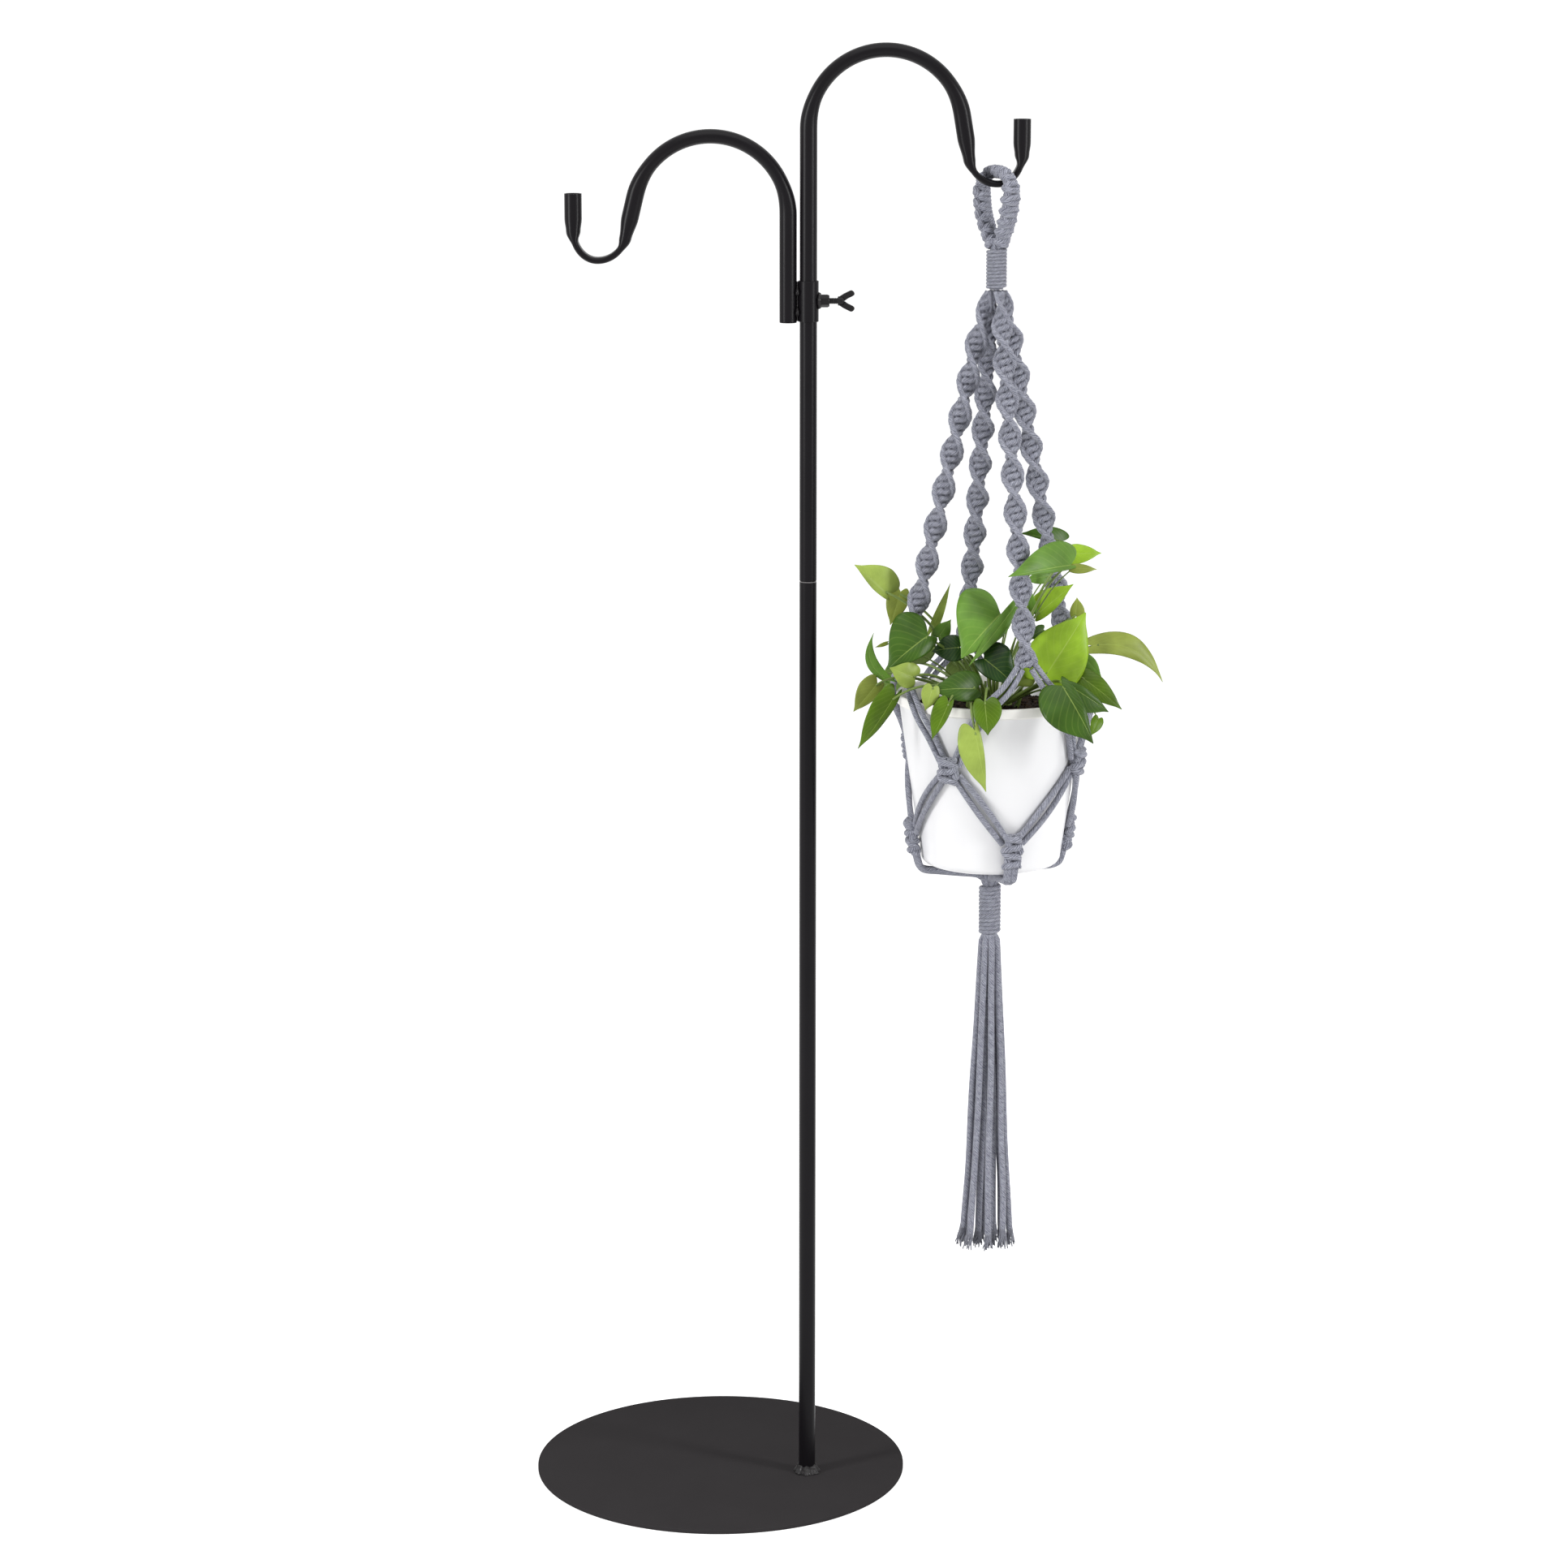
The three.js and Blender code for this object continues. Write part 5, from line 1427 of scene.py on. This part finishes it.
# Base, tip, half widths, tone, tilt, camber, bow, turn, faces back; the last eleven are young leaves.
LEAVES = tuple(Leaf(row[:3], row[3:6], *row[6:]) for row in (
    (-98, -8, 876, -130, -14, 905, 19, 6, LIGHT, -0.3, 3), (-86, 10, 877, -96, 4, 845, 11, 10, OLIVE, 0, 2),
    (-61, -44, 844, -100, -60, 815, 31, 12, DEEP, -0.35, 5), (-58, 4, 837, -40, -2, 886, 5, 4, LIGHT, 0, 2),
    (6, -44, 865, -32, -70, 827, 38, 15, MID, -0.35, 5),
    (-100, -34, 800, -112, -26, 843, 7, 5, MID, 0, 1, -10),
    (-108, -38, 798, -131, -42, 771, 13, 8, OLIVE, 0, 2),
    (-92, -62, 792, -127, -68, 741, 15, 6, FRESH, 0.2, 4, 0, 14),
    (-74, -58, 806, -98, -66, 817, 12, 12, LIGHT, -0.3, 2),
    (-17, -76, 799, -61, -90, 800, 16, 11, DEEP, -0.5, 4),
    (-44, -98, 791, -60, -104, 757, 12, 5, FRESH, 0, 2),
    (-12, -104, 793, -9, -109, 762, 12, 15, FRESH, 0, 3),
    (-21, -106, 768, -10, -109, 709, 18, 5, LIGHT, 0, 3, 0, -12),
    (-12, -58, 825, 17, -64, 801, 12, 22, SHADE, 0.3, 4),
    (-31, -36, 831, -58, -30, 826, 12, 12, SHADE, -0.4, 3), (19, -48, 873, -26, -76, 820, 6, 7, MID, 0, 1),
    (44, -56, 804, 84, -44, 865, 29, 28, BRIGHT, 0, 4),
    (59, -88, 806, 88, -110, 755, 29, 9, DEEP, 0.3, 5, 0, 16),
    (69, -74, 801, 105, -68, 776, 16, 6, DEEP, 0.3, 3),
    (79, -48, 806, 118, -56, 776, 10, 11, FRESH, 0.4, 3),
    (89, -20, 829, 160, -8, 793, 9, 13, OLIVE, 0.5, 4, -13),
    (71, -46, 910, 10, -84, 905, 23, 4, MID, -0.4, 4),
    (70, 58, 916, 27, 50, 925, 11, 3, DEEP, -0.4, 3, 0, 30),
    (67, -4, 913, 101, 0, 914, 9, 9, BRIGHT, 0.4, 2), (40, -12, 857, 74, -16, 887, 7, 15, BRIGHT, 0.2, 2),
    (42, 91, 800, 50, 108, 752, 16, 14, MID, 0, 4, 0, 0, True),
    (-24, 99, 796, -28, 112, 752, 15, 15, FRESH, 0, 4, 0, 0, True),
    (-82, 57, 799, -98, 72, 756, 14, 13, MID, 0, 3, 0, 0, True),
    (-8, 50, 842, -14, 78, 812, 19, 18, BRIGHT, 0, 4, 0, 0, True),
    (-62, 30, 826, -80, 44, 800, 15, 15, DEEP, 0.2, 3, 0, 0, True),
    (-52, -14, 836, -40, -18, 854, 8, 8, MID, 0.1, 1), (-59, -92, 804, -66, -98, 783, 9, 8, LIGHT, 0.1, 1),
    (85, -30, 820, 100, -34, 803, 6, 6, MID, 0.1, 1), (70, -44, 907, 94, -40, 905, 5, 4, OLIVE, 0.3, 1),
    (53, 8, 891, 29, 0, 888, 6, 6, MID, -0.3, 1), (38, -14, 860, 27, -20, 895, 4, 4, MID, 0, 1),
    (79, 14, 851, 80, 18, 869, 8, 6, OLIVE, 0, 1), (47, -20, 845, 30, -28, 838, 6, 6, DEEP, -0.3, 1),
    (32, -50, 807, 21, -46, 796, 9, 9, LIGHT, 0.1, 1), (96, -66, 770, 88, -76, 755, 6, 6, FRESH, 0.1, 1),
    (-99, -24, 833, -111, -26, 829, 2, 2, OLIVE, 0, 0.5),
))


@dataclass
class Plant:
    """Trailing plant: its crown, its stalks and its heart-shaped leaves."""

    leaves: tuple[Leaf, ...] = LEAVES
    crown_foot: float = 769.3
    crown_height: float = 12.0
    stumps: int = 26
    root: float = 0.18
    over_rim: float = 815.0
    rim_level: float = 812.0
    thick: float = 0.55
    rows: int = 34
    columns: int = 17
    seed: int = 3

    def build(self, shop: Workshop) -> None:
        """Makes the blades and the stalks with their crown."""
        random = np.random.default_rng(self.seed)
        mount(self.blades(random, shop), "planter", "foliage", "plant")
        shop.tie("leaf_stalks", "plant", self.stalks(random), 8, shop.stalk, "foliage")

    def stations(self) -> tuple[np.ndarray, np.ndarray, np.ndarray]:
        """Place of the edges, place of the midrib and share of the width, along a leaf."""
        rough = np.array([(0.02, 0.03, 0.03), (-0.07, 0.035, 0.28), (-0.1, 0.045, 0.52), (-0.05, 0.06, 0.74),
                          (0.06, 0.1, 0.9), (0.2, 0.22, 0.99), (0.36, 0.36, 0.98), (0.56, 0.56, 0.8),
                          (0.74, 0.74, 0.5), (0.88, 0.88, 0.2), (1.0, 1.0, 0.02)])
        fine = spline(rough, self.rows)
        return fine[:, 0], fine[:, 1], np.maximum(fine[:, 2], 0.02)

    def midrib(self, leaf: Leaf, t: np.ndarray) -> tuple[np.ndarray, np.ndarray, np.ndarray]:
        """Points of a leaf's midrib at t, and its across and face directions."""
        start = np.array(leaf.base, float)
        axis = np.array(leaf.tip, float) - start
        across = unit(np.array([axis[2], 0, -axis[0]]))
        across[1] = -leaf.tilt
        face = unit(np.cross(across, axis))
        arch = (4 * t * (1 - t))[..., None]
        points = start + axis * t[..., None] + across * arch * leaf.bow + face * arch * leaf.camber
        return points, across, face

    def blades(self, random: np.random.Generator, shop: Workshop) -> bpy.types.Object:
        """All leaf blades as one thin closed mesh."""
        edge, middle, share = (part[:, None] for part in self.stations())
        side = np.linspace(-1, 1, self.columns)[None]
        reach = np.abs(side)
        place_along = mix(middle, edge, reach**1.5)
        corner = np.arange((self.rows - 1) * self.columns).reshape(-1, self.columns)[:, :-1].ravel()
        quads = corner[:, None] + np.array([0, 1, self.columns + 1, self.columns])
        spot = xyz(side, place_along, 0.0).reshape(-1, 3)
        points, faces, tints = [], [], []
        for k, leaf in enumerate(self.leaves):
            rib, across, face = self.midrib(leaf, place_along)
            size, flip = 0.5 * (leaf.wide + leaf.narrow), -1 if leaf.faces_back else 1
            width = np.where(side > 0, leaf.wide, leaf.narrow) * share * side
            phase, waves = random.uniform(0, 6.28), random.uniform(1.6, 2.6)
            ripple = 0.05 * size * np.sin(2 * np.pi * waves * place_along + phase + (side > 0) * 2.1)
            lift = (size * share * (0.16 * reach - 0.24 * side**2) + ripple * side**2 * share
                    - 0.06 * size * smooth((place_along - 0.75) / 0.25))
            grid = rib + across * width[..., None] + face * (flip * lift)[..., None]
            points.append(grid.reshape(-1, 3))
            faces += (k * len(spot) + quads[:, ::flip]).tolist()
            shade = random.uniform(0.88, 1.12)
            tints.append(np.tile([*[shade * c for c in linear(leaf.tone.value)[:3]], 1.0], (len(spot), 1)))
        made = make_piece("leaf_blades", [(np.vstack(points), faces)], shop.leaf, POT_AT, 80, outward=False)
        made.data.materials.append(shop.underleaf)
        spots = np.tile(spot, (len(points), 1))
        for name, kind, key, values in (("blade", "FLOAT_VECTOR", "vector", spots),
                                        ("tint", "FLOAT_COLOR", "color", np.vstack(tints))):
            attribute = made.data.attributes.new(name, kind, "POINT")
            attribute.data.foreach_set(key, values.astype(np.float32).ravel())
        skin = made.modifiers.new("thickness", "SOLIDIFY")
        skin.thickness, skin.offset, skin.material_offset = self.thick * MM, -1.0, 1
        return settle(made)

    def stalks(self, random: np.random.Generator) -> list[Line]:
        """A bent stalk for every leaf, and the stumps of the crown."""
        lines, t = [], np.linspace(0, 1, 26)[:, None]
        for leaf in self.leaves:
            end = self.midrib(leaf, np.array(0.1))[0]
            outside = end[2] < self.rim_level
            turn = math.radians(leaf.turn)
            level = np.array([end[0] * math.cos(turn) - end[1] * math.sin(turn),
                              end[0] * math.sin(turn) + end[1] * math.cos(turn), 0.0])
            start = level * self.root + np.array([0, 0, self.crown_foot + 0.4 * self.crown_height])
            rise = self.over_rim if outside else mix(start[2], end[2], 0.75)
            bend = level * (0.75 if outside else 0.45) + np.array([0, 0, rise])
            path = (1 - t) ** 2 * start + 2 * t * (1 - t) * bend + t**2 * end
            size = 1.0 if leaf.wide + leaf.narrow > 14 else 0.6
            lines.append((path, size * mix(1.7, 1.0, t[:, 0])))
        for _ in range(self.stumps):
            azimuth, reach = random.uniform(0, 360), random.uniform(2, 24)
            foot = around(azimuth, reach, self.crown_foot - 6)
            top = around(azimuth + random.uniform(-20, 20), reach + random.uniform(0, 9),
                         self.crown_foot + random.uniform(6, 22))
            path = spline([foot, (foot + top) / 2 + random.uniform(-2, 2, 3), top], 10)
            lines.append((path, np.linspace(2.6, 1.2, 10)))
        return lines


# ------------------------------------------------------------------ studio
@dataclass
class Studio:
    """Pale floor, plain soft light and the photograph's camera."""

    camera_at: tuple[float, float, float] = (0.0625, -3.83, 1.501)
    pitch: float = 12.0
    lens: float = 94.3
    floor_half: float = 400.0
    floor_z: float = -0.0002
    floor_glow: float = 0.64
    plain_level: float = 0.5

    def build(self) -> None:
        """Makes the camera, the floor, the world and the lamps."""
        scene = bpy.context.scene
        camera = bpy.data.objects.new("camera", bpy.data.cameras.new("camera"))
        scene.collection.objects.link(camera)
        camera.location = self.camera_at
        camera.rotation_euler = (math.radians(90 - self.pitch), 0, 0)
        camera.data.lens, camera.data.sensor_width, camera.data.clip_end = self.lens, 36.0, 1000.0
        scene.camera = camera
        self.floor()
        self.world()
        self.lamp("left strip", (-2.2, -1.5, 1.5), (0.1, 0, 0.9), (0.45, 1.3), 48.0)
        self.lamp("right strip", (2.4, -1.3, 1.5), (0.1, 0, 0.9), (0.45, 1.3), 38.0)
        self.lamp("top", (0.2, -0.6, 3.2), (0.15, 0, 0.0), (2.0, 2.0), 22.0)
        scene.view_settings.view_transform = "Standard"

    def floor(self) -> None:
        """A pale floor that reads white to the camera and keeps the object's shadow."""
        half, z, made = self.floor_half, self.floor_z, blank("floor")
        corners_at = [(-half, -half, z), (half, -half, z), (half, half, z), (-half, half, z)]
        made.data.from_pydata(corners_at, [], [(0, 1, 2, 3)])
        pale = Surface("pale_floor", Base_Color=linear("#e9e9e9"), Roughness=0.9, Specular_IOR_Level=0.1)
        glow = pale.add("ShaderNodeEmission", Color=(1, 1, 1, 1), Strength=self.seen(pale, self.floor_glow))
        both = pale.add("ShaderNodeAddShader", pale.shader, glow)
        pale.tree.links.new(both.outputs[0], pale.tree.nodes["Material Output"].inputs["Surface"])
        made.data.materials.append(pale.material)

    @staticmethod
    def seen(nodes: Nodes, strength: float) -> bpy.types.Node:
        """A strength that only camera, glossy and transmission rays see."""
        rays = nodes.add("ShaderNodeLightPath").outputs
        first = nodes.math("MAXIMUM", rays["Is Camera Ray"], rays["Is Glossy Ray"])
        return nodes.math("MULTIPLY", nodes.math("MAXIMUM", first, rays["Is Transmission Ray"]), strength)

    def world(self) -> None:
        """White to the camera and in reflections, and a plain soft level for everything else."""
        world = bpy.data.worlds.new("studio")
        bpy.context.scene.world = world
        world.use_nodes = True
        nodes = Nodes(world.node_tree)
        level = nodes.math("ADD", self.seen(nodes, 1 - self.plain_level), self.plain_level)
        sky = nodes.tree.nodes["Background"].inputs
        nodes.tree.links.new(level.outputs[0], sky["Strength"])
        sky["Color"].default_value = (1, 1, 1, 1)

    @staticmethod
    def lamp(name: str, at: Sequence[float], towards: Sequence[float], size: tuple[float, float],
             power: float) -> None:
        """One soft lamp, by its width and height in metres and its power in watts."""
        data = bpy.data.lights.new(name, "AREA")
        data.shape, data.energy = "RECTANGLE", power
        data.size, data.size_y = size
        lamp = bpy.data.objects.new(name, data)
        lamp.location = at
        lamp.rotation_euler = (Vector(towards) - Vector(at)).to_track_quat("-Z", "Y").to_euler()
        bpy.context.scene.collection.objects.link(lamp)


def dress_cad(shop: Workshop) -> None:
    """Gives the CAD nodes that stay visible their real finish."""
    for name in ("pole_connector", "weld_nut"):
        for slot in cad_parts[name].material_slots:
            slot.material = shop.zinc
        log.info("%s keeps its CAD shape", name)


def main() -> None:
    logging.basicConfig(level=logging.INFO, format="%(name)s: %(message)s")
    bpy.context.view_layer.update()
    Studio().build()
    shop, pot = Workshop(), Pot()
    for part in (Tassel(), Foot(), Pole(), SideArm(), WingBolt(), Loop(),
                 Winding("upper_winding", "top_wrap", 1198.0, 1159.6, 11, 1.62),
                 Winding("lower_winding", "bottom_wrap", 597.4, 547.7, 12, 2.05),
                 Sennits(), pot, Net(pot), Plant()):
        part.build(shop)
    dress_cad(shop)


if __name__ == "__main__":
    main()
